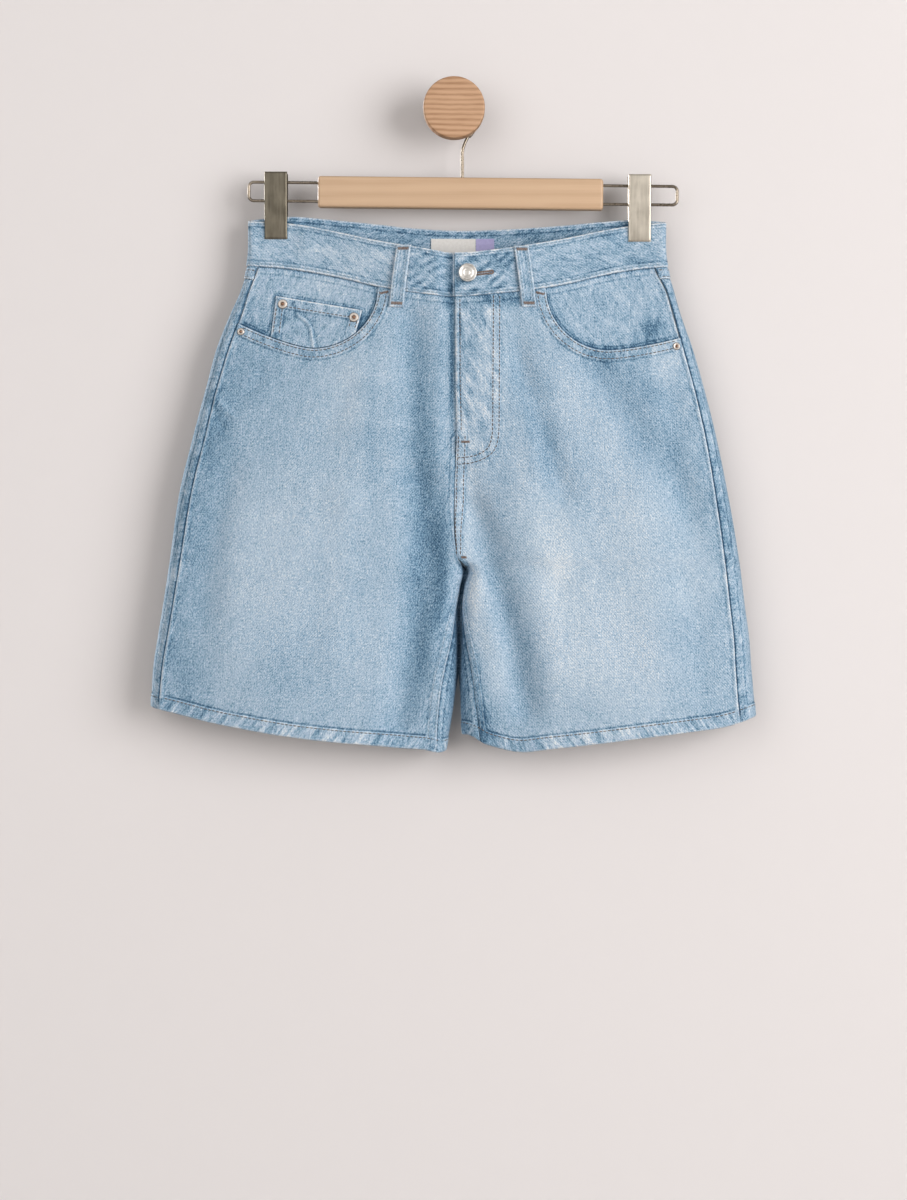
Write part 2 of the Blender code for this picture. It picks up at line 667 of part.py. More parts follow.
def wrapped_border(side, height, q_start, guess_z, count=121):
    """A border that runs from the centre back round the side to the outseam, as (q, z) points."""
    q_end = 2 - outseam_q(side, guess_z)
    q = np.linspace(q_start, q_end, count)
    x = surface(side, BACK, q, np.full(count, guess_z))[:, 0]
    z = height(x, q)
    end_q = 2 - outseam_q(side, z[-1]) - seam_gap_q(side, z[-1])
    q = q_start + (q - q_start) * (end_q - q_start) / (q_end - q_start)
    return np.stack([q, z], axis=-1)


def back_seam_height(x, q):
    return np.where(q > 1, along(WAIST, "seam_front", x), along(WAIST, "seam_back", x)) - SEAM_GAP


def back_yoke(side):
    """From the waistband seam to the yoke seam, round the side to the outseam at the front."""
    gap = seam_gap_q(side, WAIST_SIDE_Z)
    top = wrapped_border(side, back_seam_height, gap, WAIST_SIDE_Z)
    bottom = wrapped_border(side, lambda x, q: yoke_z(x) + SEAM_GAP * 0.8, gap, YOKE_SIDE_Z)
    start = evenly([top[0], bottom[0]])
    end_z = np.linspace(top[-1, 1], bottom[-1, 1], 21)
    end = np.stack([2 - outseam_q(side, end_z) - seam_gap_q(side, end_z), end_z], axis=-1)
    end[0], end[-1] = top[-1], bottom[-1]

    def place(u, v):
        return coons(top, bottom, start, end, u, v)

    wall = cloth_wall(side, BACK, place, -DENIM, 0.0)
    slab(f"back_yoke_{SIDE_NAMES[side]}", BACK_COLUMNS, shares(4), wall, "denim")


def back_panel(side):
    """From the centre back and inseam, which shows at the front of the leg, round the back and the outer
    side to the outseam."""
    top_gap = seam_gap_q(side, YOKE_SIDE_Z - YOKE_DROP)
    top = wrapped_border(side, lambda x, q: yoke_z(x) - SEAM_GAP / 2, top_gap, YOKE_SIDE_Z)
    hem_start = -inseam_q(side, HEM_INNER_Z) + seam_gap_q(side, HEM_INNER_Z)
    hem_end = 2 - outseam_q(side, HEM_SIDE_Z) - seam_gap_q(side, HEM_SIDE_Z)
    bottom = hem_border(side, BACK, hem_start, hem_end, 241)
    end_z = np.linspace(top[-1, 1], bottom[-1, 1], 161)
    end = np.stack([2 - outseam_q(side, end_z) - seam_gap_q(side, end_z), end_z], axis=-1)
    start_z = np.linspace(top[0, 1], bottom[0, 1], 241)
    gap = seam_gap_q(side, start_z)
    in_leg = start_z < CROTCH_Z
    inseam = np.where(in_leg, -inseam_q(side, start_z) + 2 * gap, gap)
    centre = q_at(side, outline("inner", side, start_z) + side * SEAM_GAP / 2, start_z)
    start = np.stack([np.where(in_leg, inseam, np.maximum(centre, gap)), start_z], axis=-1)
    top[0], top[-1] = start[0], end[0]
    bottom[0], bottom[-1] = start[-1], end[-1]

    def place(u, v):
        return coons(top, bottom, start, end, u, v)

    rows = panel_rows(start_z[0], start_z[-1])
    wall = cloth_wall(side, BACK, place, hem_wall(rows), 0.0)
    slab(f"back_panel_{SIDE_NAMES[side]}", BACK_COLUMNS, rows, wall, "denim")


def back_pocket(side):
    """A plain five-sided patch on the back panel."""
    corner = {key: np.array([1 + side * x, z], float) for key, (x, z) in BACK_POCKET.items()}
    top = to_q(side, evenly([corner["inner_top"], corner["outer_top"]]))
    bottom = to_q(side, evenly([corner["inner_low"], corner["tip"], corner["outer_low"]]))
    start = to_q(side, evenly([corner["inner_top"], corner["inner_low"]]))
    end = to_q(side, evenly([corner["outer_top"], corner["outer_low"]]))

    def place(u, v):
        return coons(top, bottom, start, end, u, v)

    wall = cloth_wall(side, BACK, place, PATCH_LIFT, PATCH_LIFT + PATCH_DENIM)
    slab(f"back_pocket_{SIDE_NAMES[side]}", shares(11), shares(10), wall, "denim")


def waistband():
    """One doubled strip. It starts at the lapping left end, goes round by the left side and the centre
    back, and its right end runs on under the lap."""
    lap_q = q_at(RIGHT, LAP_END_X, BAND_MID_Z)
    under_q = q_at(LEFT, UNDERLAP_END_X, BAND_MID_Z)
    lap = np.array([-lap_q, 0.03, 0.08])
    front_left = np.linspace(0.15, 0.93, 11)
    turn_left = np.linspace(0.955, 1.045, 7)
    back = np.linspace(1.08, 2.92, 22)
    girth = np.r_[lap, front_left, turn_left, back, turn_left + 2, 4 - front_left[::-1]]
    girth = np.r_[girth, 3.9, 3.94, 3.97, 4.0, 4 + np.linspace(0.06, under_q, 3)]
    shares_along = (girth - girth[0]) / (girth[-1] - girth[0])

    def wall(u, v, layer):
        at = girth[0] + u * (girth[-1] - girth[0])
        side, face, q = strip_of_girth(at)
        z = waist_edge_z("top", at) * (1 - v) + waist_edge_z("seam", at) * v
        points = surface(side, face, q, z)
        normal = outward(side, face, q, z)
        sunk = UNDERLAP_SINK * smooth(-17, -4, points[:, 0]) * (at > 3)
        return points + normal * (BAND_PROUD - DOUBLED_DENIM * (1 - layer) - sunk)[..., None]

    slab("waistband", shares_along, shares(3), wall, "denim")


def belt_loop(name):
    """A strip over the waistband, from its top edge to a little way below its seam, bowed off it."""
    face, top_x, foot_x = LOOPS[name]
    side = RIGHT if top_x < 0 else LEFT
    top_z = waist_z("top", face, top_x) - 0.5
    seam_z = waist_z("seam", face, foot_x)
    foot_z = seam_z - LOOP_PAST_SEAM

    def place(u, v):
        z = top_z + (foot_z - top_z) * v
        x = top_x + (foot_x - top_x) * v + (u - 0.5) * LOOP_WIDTH
        near_side = side if name != "centre_back" else np.where(x > 1, LEFT, RIGHT)
        return near_side, q_at(near_side, x, z), z

    def wall(u, v, layer):
        near_side, q, z = place(u, v)
        on_band = smooth(seam_z - 6, seam_z - 3, z)
        bow = LOOP_BOW * np.sin(math.pi * np.clip(v, 0, 1)) ** 2
        lift = PATCH_LIFT + BAND_PROUD * on_band + bow + LOOP_DENIM * layer
        return surface(near_side, face, q, z) + outward(near_side, face, q, z) * lift[..., None]

    slab(f"belt_loop_{name}", shares(4), shares(10), wall, "denim")


def label_part(name):
    """A bare strip of ribbon on the inner face of the back waistband."""
    x_low, x_high = LABEL_PARTS[name]

    def wall(u, v, layer):
        x = x_low + (x_high - x_low) * u
        z = LABEL_TOP_Z + (LABEL_LOW_Z - LABEL_TOP_Z) * v
        side = np.where(x > 0.9, LEFT, RIGHT)
        q = q_at(side, x, z)
        inside = BAND_PROUD - DOUBLED_DENIM - PATCH_LIFT
        lift = inside - LABEL_CLOTH * (1 - layer)
        return surface(side, BACK, q, z) + outward(side, BACK, q, z) * lift[..., None]

    slab(f"label_{name}", shares(5), shares(4), wall, f"label_{name}")


def turned(name, profile, finish, steps=20):
    """A turned shape about its local Z: a profile of (radius, height) in mm, top to bottom, with a
    Screw."""
    mesh = bpy.data.meshes.new(name)
    points = [(radius * MM, 0, height * MM) for radius, height in profile]
    mesh.from_pydata(points, [(k, k + 1) for k in range(len(points) - 1)], [])
    obj = add_object(name, mesh, finish)
    screw = obj.modifiers.new("turn", "SCREW")
    screw.steps = screw.render_steps = steps
    screw.use_merge_vertices = True
    screw.merge_threshold = 1e-5
    return obj


def fixed_to(obj, side, face, x, z, lift):
    """Puts a turned fitting on the cloth, its local Z along the outward normal, lifted by lift mm."""
    q = q_at(side, x, z)
    spot = surface(side, face, np.array([q]), np.array([z]))[0]
    normal = outward(side, face, np.array([q]), np.array([z]))[0]
    obj.location = (spot + normal * lift) * MM
    obj.rotation_mode = "QUATERNION"
    obj.rotation_quaternion = Vector(normal).to_track_quat("Z", "Y")


def button():
    """A rolled-rim cap on a short shank that ends at the lapping end of the waistband."""
    rim = BUTTON_RADIUS
    cap = [(0.0, 4.0), (0.34, 4.0), (0.46, 3.6), (0.66, 3.6), (0.8, 4.3), (0.94, 4.0)]
    shank = [(1.0, 3.2), (0.94, 2.4), (0.4, 2.2), (0.4, 0.0), (0.0, 0.0)]
    profile = [(rim * share, height) for share, height in cap + shank]
    obj = turned("button", profile, "button_metal", 24)
    fixed_to(obj, LEFT, FRONT, *BUTTON_PLACE, BAND_PROUD + SEAM_GAP)


def rivet(name, side, x, z, radius, lift):
    """A low domed head that lies on the cloth."""
    dome = [(0.0, 1.5), (0.3, 1.5), (0.75, 1.1), (1.0, 0.4), (0.9, 0.0), (0.0, 0.0)]
    obj = turned(name, [(radius * share, height) for share, height in dome], "rivet_copper", 16)
    fixed_to(obj, side, FRONT, x, z, lift)


def rivets():
    """One at each upper corner of the coin pocket and one at the outer end of each pocket mouth."""
    on_coin = -FACING_DEPTH + PATCH_LIFT + COIN_DENIM + SEAM_GAP
    for name, (x, z) in COIN_RIVET_PLACES.items():
        rivet(f"rivet_coin_{name}", RIGHT, x, z, RIVET_RADIUS, on_coin)
    for side in (RIGHT, LEFT):
        z = MOUTHS[side]["end_z"] - SIDE_RIVET_DROP
        x = float(surface(side, FRONT, outseam_q(side, z), z)[0]) - side * SIDE_RIVET_INSET
        rivet(f"rivet_mouth_{SIDE_NAMES[side]}", side, x, z, SIDE_RIVET_RADIUS, PATCH_LIFT)


def wire(name, points, finish):
    """A round wire along points in mm, with capped ends."""
    curve = bpy.data.curves.new(name, "CURVE")
    curve.dimensions = "3D"
    curve.bevel_depth = WIRE_RADIUS * MM
    curve.bevel_resolution = 2
    curve.use_fill_caps = True
    spline = curve.splines.new("POLY")
    spline.points.add(len(points) - 1)
    for knot, point in zip(spline.points, points):
        knot.co = (*(np.array(point) * MM), 1)
    obj = bpy.data.objects.new(name, curve)
    curve.materials.append(material(finish))
    bpy.data.collections["denim_shorts"].objects.link(obj)
    return obj


def bar_point(along_x, up):
    """A point of the tilted bar's frame: along it and up from its axis."""
    cos, sin = math.cos(BAR_TILT), math.sin(BAR_TILT)
    x = BAR_CENTRE[0] + along_x * cos - up * sin
    z = BAR_CENTRE[2] + along_x * sin + up * cos
    return x, BAR_CENTRE[1], z


def hanger_bar():
    bm = bmesh.new()
    bmesh.ops.create_cube(bm, size=MM)
    bmesh.ops.scale(bm, vec=BAR_SIZE, verts=bm.verts)
    mesh = bpy.data.meshes.new("hanger_bar")
    bm.to_mesh(mesh)
    bm.free()
    obj = add_object("hanger_bar", mesh, "beech")
    obj.location = np.array(BAR_CENTRE) * MM
    obj.rotation_euler = (0, -BAR_TILT, 0)
    bevel = obj.modifiers.new("eased_edges", "BEVEL")
    bevel.width = BAR_EDGE * MM
    bevel.segments = 3


def wire_loop(side):
    """Two level wires from the bar's end, joined by an end with round corners."""
    end_x = (WIRE_ENDS[side] - BAR_CENTRE[0]) - side * WIRE_RADIUS
    start_x = side * (BAR_SIZE[0] / 2 + SEAM_GAP)
    half = WIRE_PITCH / 2
    upper = [
        (end_x - side * WIRE_CORNER * (1 - math.sin(a)), half - WIRE_CORNER * (1 - math.cos(a)))
        for a in np.linspace(0, math.pi / 2, 5)
    ]
    lower = [(x, -up) for x, up in reversed(upper)]
    path = [(start_x, half), *upper, *lower, (start_x, -half)]
    wire(f"wire_loop_{SIDE_NAMES[side]}", [bar_point(*place) for place in path], "wire")


def clip_plate(side, face):
    """A pressed channel: a flat plate with two flanges that stop just short of the wires and of the
    cloth."""
    across = np.array([-1, -1, -0.94, 0.94, 1, 1]) * CLIP_WIDTH / 2
    toward_plate = np.array([0, 0.9, 1, 1, 0.9, 0])

    def wall(u, v, layer):
        corner = np.rint(u * (len(across) - 1)).astype(int)
        down = v * CLIP_LENGTH
        plate = along(CLIP_PROFILE, "plate", down)
        flange = along(CLIP_PROFILE, "flange", down)
        thick = CLIP_PLATE * layer
        share = toward_plate[corner]
        x = CLIP_X[side] + across[corner] * (1 - thick / (CLIP_WIDTH / 2))
        reach = np.maximum(flange + (plate - flange) * share - thick * (share > 0), flange)
        return np.stack([x, MID_Y + face * reach, CLIP_TOP_Z[side] - down], axis=-1)

    rows = CLIP_PROFILE["down"] / CLIP_LENGTH
    finish = "dark_nickel" if side == RIGHT else "pale_nickel"
    facing = "front" if face == FRONT else "back"
    slab(f"clip_{facing}_{SIDE_NAMES[side]}", shares(len(across)), rows, wall, finish)


def hook():
    """The hanger's hook: a stem from the bar, bent aside, then an arc over the peg's stem."""
    centre_z = PEG_STEM_RADIUS + SEAM_GAP + WIRE_RADIUS - HOOK_BEND_RADIUS
    arc = [
        (HOOK_BEND_RADIUS * math.cos(a), centre_z + HOOK_BEND_RADIUS * math.sin(a))
        for a in np.linspace(*HOOK_ARC_ANGLES, HOOK_ARC_STEPS)
    ]
    wire("hook", [(x, MID_Y, z) for x, z in (*HOOK_STEM, *arc)], "wire")


def peg():
    """A turned peg: a stem on the wall and a flat round head with eased edges."""
    front = PEG_STEM_LENGTH + PEG_HEAD_THICKNESS
    head = PEG_HEAD_RADIUS
    profile = [
        (0.0, front),
        (head - PEG_EDGE, front),
        (head - PEG_EDGE / 4, front - PEG_EDGE / 3),
        (head, front - PEG_EDGE),
        (head, PEG_STEM_LENGTH + PEG_EDGE),
        (head - PEG_EDGE, PEG_STEM_LENGTH),
        (PEG_STEM_RADIUS, PEG_STEM_LENGTH),
        (PEG_STEM_RADIUS, 0.0),
        (0.0, 0.0),
    ]
    obj = turned("wall_peg", profile, "oiled_wood", 36)
    obj.rotation_euler = (math.pi / 2, 0, 0)


def clear_scene():
    for obj in list(bpy.data.objects):
        bpy.data.objects.remove(obj)
    collection = bpy.data.collections.new("denim_shorts")
    bpy.context.scene.collection.children.link(collection)


def main():
    clear_scene()
    for side in (RIGHT, LEFT):
        front_panel(side)
        pocket_facing(side)
        back_yoke(side)
        back_panel(side)
        back_pocket(side)
        wire_loop(side)
        clip_plate(side, FRONT)
        clip_plate(side, BACK)
    coin_pocket()
    waistband()
    for name in LOOPS:
        belt_loop(name)
    for name in LABEL_PARTS:
        label_part(name)
    button()
    rivets()
    hanger_bar()
    hook()
    peg()


main()
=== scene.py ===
"""Light-washed denim shorts on a clip hanger and wall peg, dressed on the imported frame.

Lengths are in millimetres until a mesh is made, which is in metres. The wall is the plane y = 0, the shorts hang in
front of it towards -Y, and right and left are the wearer's: the right leg is at -X.

Every cloth piece is a wall on one surface, the hung garment's outer form. A place on that form is a side, a face,
the share q of the way across a half section and a height z. Each piece also has its own flat measures (a, b), in
which its seams, its thread and its weave are laid out, as on the cutting table.
"""

import math
from functools import cache, partial

import bpy
import numpy as np
from bpy.props import FloatProperty, FloatVectorProperty, PointerProperty
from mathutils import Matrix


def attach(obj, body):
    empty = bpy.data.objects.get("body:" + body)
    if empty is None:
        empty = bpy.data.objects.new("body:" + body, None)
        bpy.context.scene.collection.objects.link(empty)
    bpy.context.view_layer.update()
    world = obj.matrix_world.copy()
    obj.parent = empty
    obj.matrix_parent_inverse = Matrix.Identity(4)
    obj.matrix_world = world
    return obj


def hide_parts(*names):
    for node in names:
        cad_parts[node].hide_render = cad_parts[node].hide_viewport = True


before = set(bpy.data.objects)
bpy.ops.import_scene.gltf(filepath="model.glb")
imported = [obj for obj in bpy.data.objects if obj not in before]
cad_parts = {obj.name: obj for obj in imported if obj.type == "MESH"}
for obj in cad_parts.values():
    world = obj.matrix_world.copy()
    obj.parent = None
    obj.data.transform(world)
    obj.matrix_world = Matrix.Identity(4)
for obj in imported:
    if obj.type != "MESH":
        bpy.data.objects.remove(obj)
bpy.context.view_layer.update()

bl_info = {
    "name": "Denim Shorts on a Hanger",
    "version": (1, 0, 0),
    "blender": (4, 5, 0),
    "location": "View3D > Sidebar > Denim Shorts",
    "description": "Cuts, sews, hangs and lights a pair of light-washed denim shorts",
    "category": "Object",
}

MM = 0.001
RIGHT, LEFT = -1, 1
FRONT, BACK = -1, 1
SIDE_NAMES = {RIGHT: "right", LEFT: "left"}

# Walls, seams and the hung form, as the solids have them.
DENIM = 1.4
DOUBLED_DENIM = 2.6
HEM_DENIM = 2.7
HEM_HEIGHT = 12.0
SEAM_GAP = 0.3
BAND_PROUD = 0.8
BAND_HEIGHT = 40.0
PATCH_LIFT = 0.4
PATCH_DENIM = 1.2
COIN_DENIM = 1.1
FACING_DEPTH = DENIM + PATCH_LIFT
MID_Y = -25.0
BODY_X = 3.0
CROTCH_Z = -411.0
INNER_ROUND = 14.0
CROTCH_BLEND = 60.0
WIDTH_OF_Q = 400.0
OPENING_HALF_SPAN = 160.0
BAND_MID_Z = -147.0
WAIST_SIDE_Z = -141.0
HEM_SIDE_Z = -542.0
HEM_MID_Z = -557.0
HEM_INNER_Z = -569.0
CLIP_X = {RIGHT: -160.0, LEFT: 166.8}
CLIP_TOP_Z = {RIGHT: -56.4, LEFT: -58.7}
PINCH_DEPTH = 1.5
PINCH_REACH = 28.0
PINCH_FULL_Z = -121.0
PINCH_FOOT_Z = -139.0
FLY_BOTTOM_Z = -293.0
FLY_UNDERLAP = 5.0
FLY_SINK = 2.0
LAP_END_X = -1.0
UNDERLAP_END_X = 34.0
UNDERLAP_SINK = 3.0
LOOP_WIDTH = 13.0
LOOP_DENIM = 1.8
LOOP_BOW = 1.6
LOOP_PAST_SEAM = 15.5
BUTTON_RADIUS = 8.2
BUTTON_PLACE = (12.1, -148.8)
RIVET_RADIUS = 4.4
SIDE_RIVET_RADIUS = 3.4
SIDE_RIVET_DROP = 7.6
SIDE_RIVET_INSET = 5.5
COIN_RIVET_PLACES = {"outer": (-153.6, -175.4), "inner": (-89.4, -187.9)}
WIRE_RADIUS = 1.35
BAR_SIZE = (256.5, 12.0, 28.0)
BAR_CENTRE = (5.85, MID_Y, -74.9)
BAR_TILT = math.radians(-0.58)
WIRE_PITCH = 16.7
WIRE_CORNER = 4.5
WIRE_ENDS = {RIGHT: -185.9, LEFT: 202.3}
CLIP_WIDTH = 20.5
CLIP_LENGTH = 60.0
CLIP_PLATE = 1.0
HOOK_BEND_RADIUS = 20.0
PEG_STEM_RADIUS = 9.0
PEG_STEM_LENGTH = 28.0
PEG_HEAD_RADIUS = 27.6
PEG_HEAD_THICKNESS = 16.0
PEG_EDGE = 1.6

# One stitch of the topstitching, and the finishes' marbling where nothing is sewn.
STITCH_LENGTH = 3.2
STITCH_PITCH = 3.8
STITCH_WIDTH = 1.05
STITCH_HEIGHT = 0.6
STITCH_SUNK = 0.02
TACK_WIDTH = 0.7
TACK_PITCH = 0.62
PLAIN_MARBLE = 0.2
# How much darker the waistband's inner face is painted, as painted shade.
INNER_BAND_PAINTED_SHADE = 0.19
# The camera stands in line with the cloth's middle, and a wave texture of scale 1 has a band each 0.314 across.
CAMERA_X = -0.00045
WAVE_BANDS = 0.314
# Places in the flat measures that tell which side of an edge is the cloth.
MID_LEG = (130.0, -400.0)
INSIDE_FLY = (10.0, -230.0)


def table(text):
    """Rows of numbers under a line of column names, as arrays in rising order of the first column. A row ends at a
    semicolon or with its line."""
    names, *rows = text.strip().replace(";", "\n").splitlines()
    columns = np.array(sorted([float(word) for word in row.split()] for row in rows)).T
    return dict(zip(names.split(), columns))


OUTLINE = table("""z  outer_right outer_left  strip_right strip_left  inner_right inner_left  turn_right turn_left
    -582 -272.4 273 7 15.6 -8.6 11 7.6 14
    -550 -272.2 271.6 7.6 16 -2.6 6.6 12 15
    -525 -272 269.6 8.8 16.2 1 5.7 13.2 12.8
    -500 -270.4 267.4 9.6 15.8 2.6 5.9 10 9
    -475 -266.6 265.6 10 15.4 2.8 6.8 4.5 3.4
    -447 -262 261.8 10.2 14.8 2.6 7.2 0.3 0.3
    -429 -259.3 259.6 10.4 14.6 5.2 9.4 0.1 0.1
    -411 -256.5 257.4 10.6 14.4 7.6 11.8 0.1 0.1
    -403 -255.4 256.2 10.8 14.2 3.6 3.4 0 0
    -391 -253.8 254.4 11 14 1.5 1.8 0 0
    -342 -246.6 245.8 12 12.5 0.6 0.6 0 0
    -297 -235.6 236.6 12 11 2.2 2.2 0 0
    -247 -222.3 224.1 11 10 1.2 1.2 0 0
    -214 -213.3 214.5 12 9.5 1.1 1.1 0 0
    -181 -200 203 10.5 7 1 1 0 0
    -163 -192 198 8 7.5 0.9 0.9 0 0
    -147 -187.5 193.5 9.5 11 0.9 0.9 0 0
    -133 -185.4 190.8 12 13 0.9 0.9 0 0
    -95 -184.5 190.5 12 13 0.9 0.9 0 0""")
DEPTH = table("""z  edge_front open_front leg_front  edge_back open_back leg_back  fold
    -582 15.5 0 12 11 0 8.5 12
    -497 15 0 11.5 11 0 8.5 12
    -411 14 2 10.5 11 1 7 12
    -357 13 4.5 9.5 10.5 2.5 6 12
    -277 11.5 8 7.5 9.5 4 4.5 11
    -197 9 11 4.5 8 5.5 2.5 9
    -147 6 13.5 1 6 7 0.5 6
    -122 4.3 14.5 0 4.3 8.5 0 4.8
    -95 4 14 0 4 9 0 4.6""")
WAIST = table("""x  top_front seam_front  top_back seam_back
    -190 -100 -140 -100 -140; -148 -102.3 -143.3 -95.8 -136.5; -102 -111 -151.8 -99 -139; -68 -118.8 -160.2 -102 -142
    -38 -124 -165.4 -105 -145.5; 0 -129.8 -169.4 -107 -147.5; 37 -127 -166.8 -106.5 -147; 67 -122.4 -163.4 -105.2 -146
    104 -115.4 -156.8 -102.8 -143; 134 -108.8 -149.2 -100.2 -140.5; 163 -103.8 -143.8 -98.8 -139
    195 -101 -141 -101 -141""")
HEM = table("""x  z
    -273 -536.5; -252 -541.5; -220 -549.6; -187 -556.2; -155 -561.8; -112 -567.2; -68 -571; -30 -574.2; -5 -574.8
    7 -562.2; 29 -570; 61 -576.6; 83 -574.2; 126 -569.4; 169 -564; 212 -558.6; 245 -553.6; 273 -544.4""")
# deep and deep_reach place the painted shadow in each pocket facing's far corner.
MOUTHS = {
    RIGHT: {"corner_x": -67.7, "low_x": -126.5, "low_z": -216.0, "end_z": -192.7, "rise": 1.4, "deep": (-91, -194),
            "deep_reach": 11},
    LEFT: {"corner_x": 82.2, "low_x": 138.0, "low_z": -217.3, "end_z": -205.8, "rise": 1.5, "deep": (178, -198),
           "deep_reach": 13},
}
FACING_REACH = 20.0
FACING_INSET = 8.0
FACING_INNER_Z = -209.0
YOKE_SIDE_Z = -152.0
YOKE_DROP = 53.0
YOKE_HALF_SPAN = 188.0
BACK_POCKET = {
    "inner_top": (33, -218),
    "outer_top": (170, -187),
    "outer_low": (157, -329),
    "tip": (101, -359),
    "inner_low": (46, -347),
}
COIN_TOP = {"outer": (-159.5, -168.0), "inner": (-82.0, -181.5)}
COIN_LOW_X = {"outer": -165.0, "inner": -88.0}
COIN_MOUTH_GAP = 1.0
LOOPS = {
    "front_right": (FRONT, -44.6, -51.7),
    "front_left": (FRONT, 59.9, 67.2),
    "back_right": (BACK, -108.0, -112.0),
    "back_left": (BACK, 112.0, 116.0),
    "centre_back": (BACK, 1.0, 1.0),
}
LABEL_PARTS = {"pale": (-20.7, 19.6), "lilac": (19.9, 36.4)}
LABEL_TOP_Z = -114.5
LABEL_LOW_Z = -143.0
LABEL_CLOTH = 0.8
CLIP_PROFILE = table("""down  plate flange
    0 9 7.6; 8 8.8 4.4; 20 8.2 1.7; 30 7.6 1.7; 38 6.8 3.8; 60 5.1 4.1""")
HOOK_STEM = ((7.6, -60.6), (7.6, -49.0), (7.6, -39.0), (7.9, -35.2), (9.0, -31.4), (10.9, -27.0), (12.6, -23.8))
HOOK_ARC_ANGLES = (math.radians(-46.0), math.radians(206.0))

# Creases, each a soft trough (negative) or ridge along a bowed line from start to end, with a bell's profile across
# it and ends that die away.
CREASES = {
    FRONT: table("""x_start z_start  x_end z_end  height width bow
    -219 -264 -207 -286 -0.8 3 -1; -214 -259 -197 -277 1.1 2.6 -1; -200 -330 -222 -452 -2 13 -6
    -196 -262 -222 -300 -0.9 8 4; -186 -340 -200 -480 1.6 20 0; -172 -238 -190 -262 -0.9 5 2
    -140 -327 -170 -517 1.6 34 0; -98 -350 -108 -490 1.6 15 3; -96 -250 -128 -300 -1 10 5
    -84 -232 -92 -350 2 18 3; -74 -332 -22 -342 0.5 5 -3; -70 -306 -18 -314 0.5 5 -3; -64 -352 -14 -366 0.5 5 -3
    -38 -190 -36 -318 -5 14 0; -32 -338 -26 -408 -7.6 15 0; -31 -434 -50 -550 -6.8 15 0
    -22 -465 -14 -530 1.4 8 0; -10 -352 -40 -400 -1 7 4; 12 -325 40 -390 -1.9 9 -4; 16 -360 64 -536 -6.8 14 4
    20 -352 62 -338 0.5 5 3; 26 -425 38 -480 2.2 11 0; 30 -396 92 -430 -1.6 12 6; 52 -185 62 -240 -1.2 8 2
    56 -222 98 -345 -3.2 11 0; 60 -340 88 -500 2.6 19 0; 66 -270 74 -330 1.4 12 0; 120 -327 150 -517 1.2 34 0
    122 -350 146 -480 -1.4 20 0; 124 -232 212 -356 -2.8 15 0; 168 -350 188 -500 2 20 0
    196 -262 216 -390 -1.8 12 -5; 208 -420 222 -520 -1 11 4"""),
    BACK: table("""x_start z_start  x_end z_end  height width bow
    -205 -455 -228 -530 -1.2 9 3; -176 -300 -214 -420 -1.8 13 6; -115 -397 -150 -507 -2.8 20 0
    -66 -430 -96 -540 1.4 14 6; -20 -357 -70 -517 -4 16 0; -12 -262 -58 -330 -1.2 9 5; -8 -372 -60 -405 -1.5 7 4
    12 -368 66 -402 -1.6 7 -4; 14 -255 66 -338 -1.2 9 -5; 24 -347 76 -512 -4.4 17 0; 84 -425 110 -545 1.5 15 -5
    130 -392 165 -497 -2.6 18 0; 182 -296 220 -410 -1.7 12 -6"""),
}
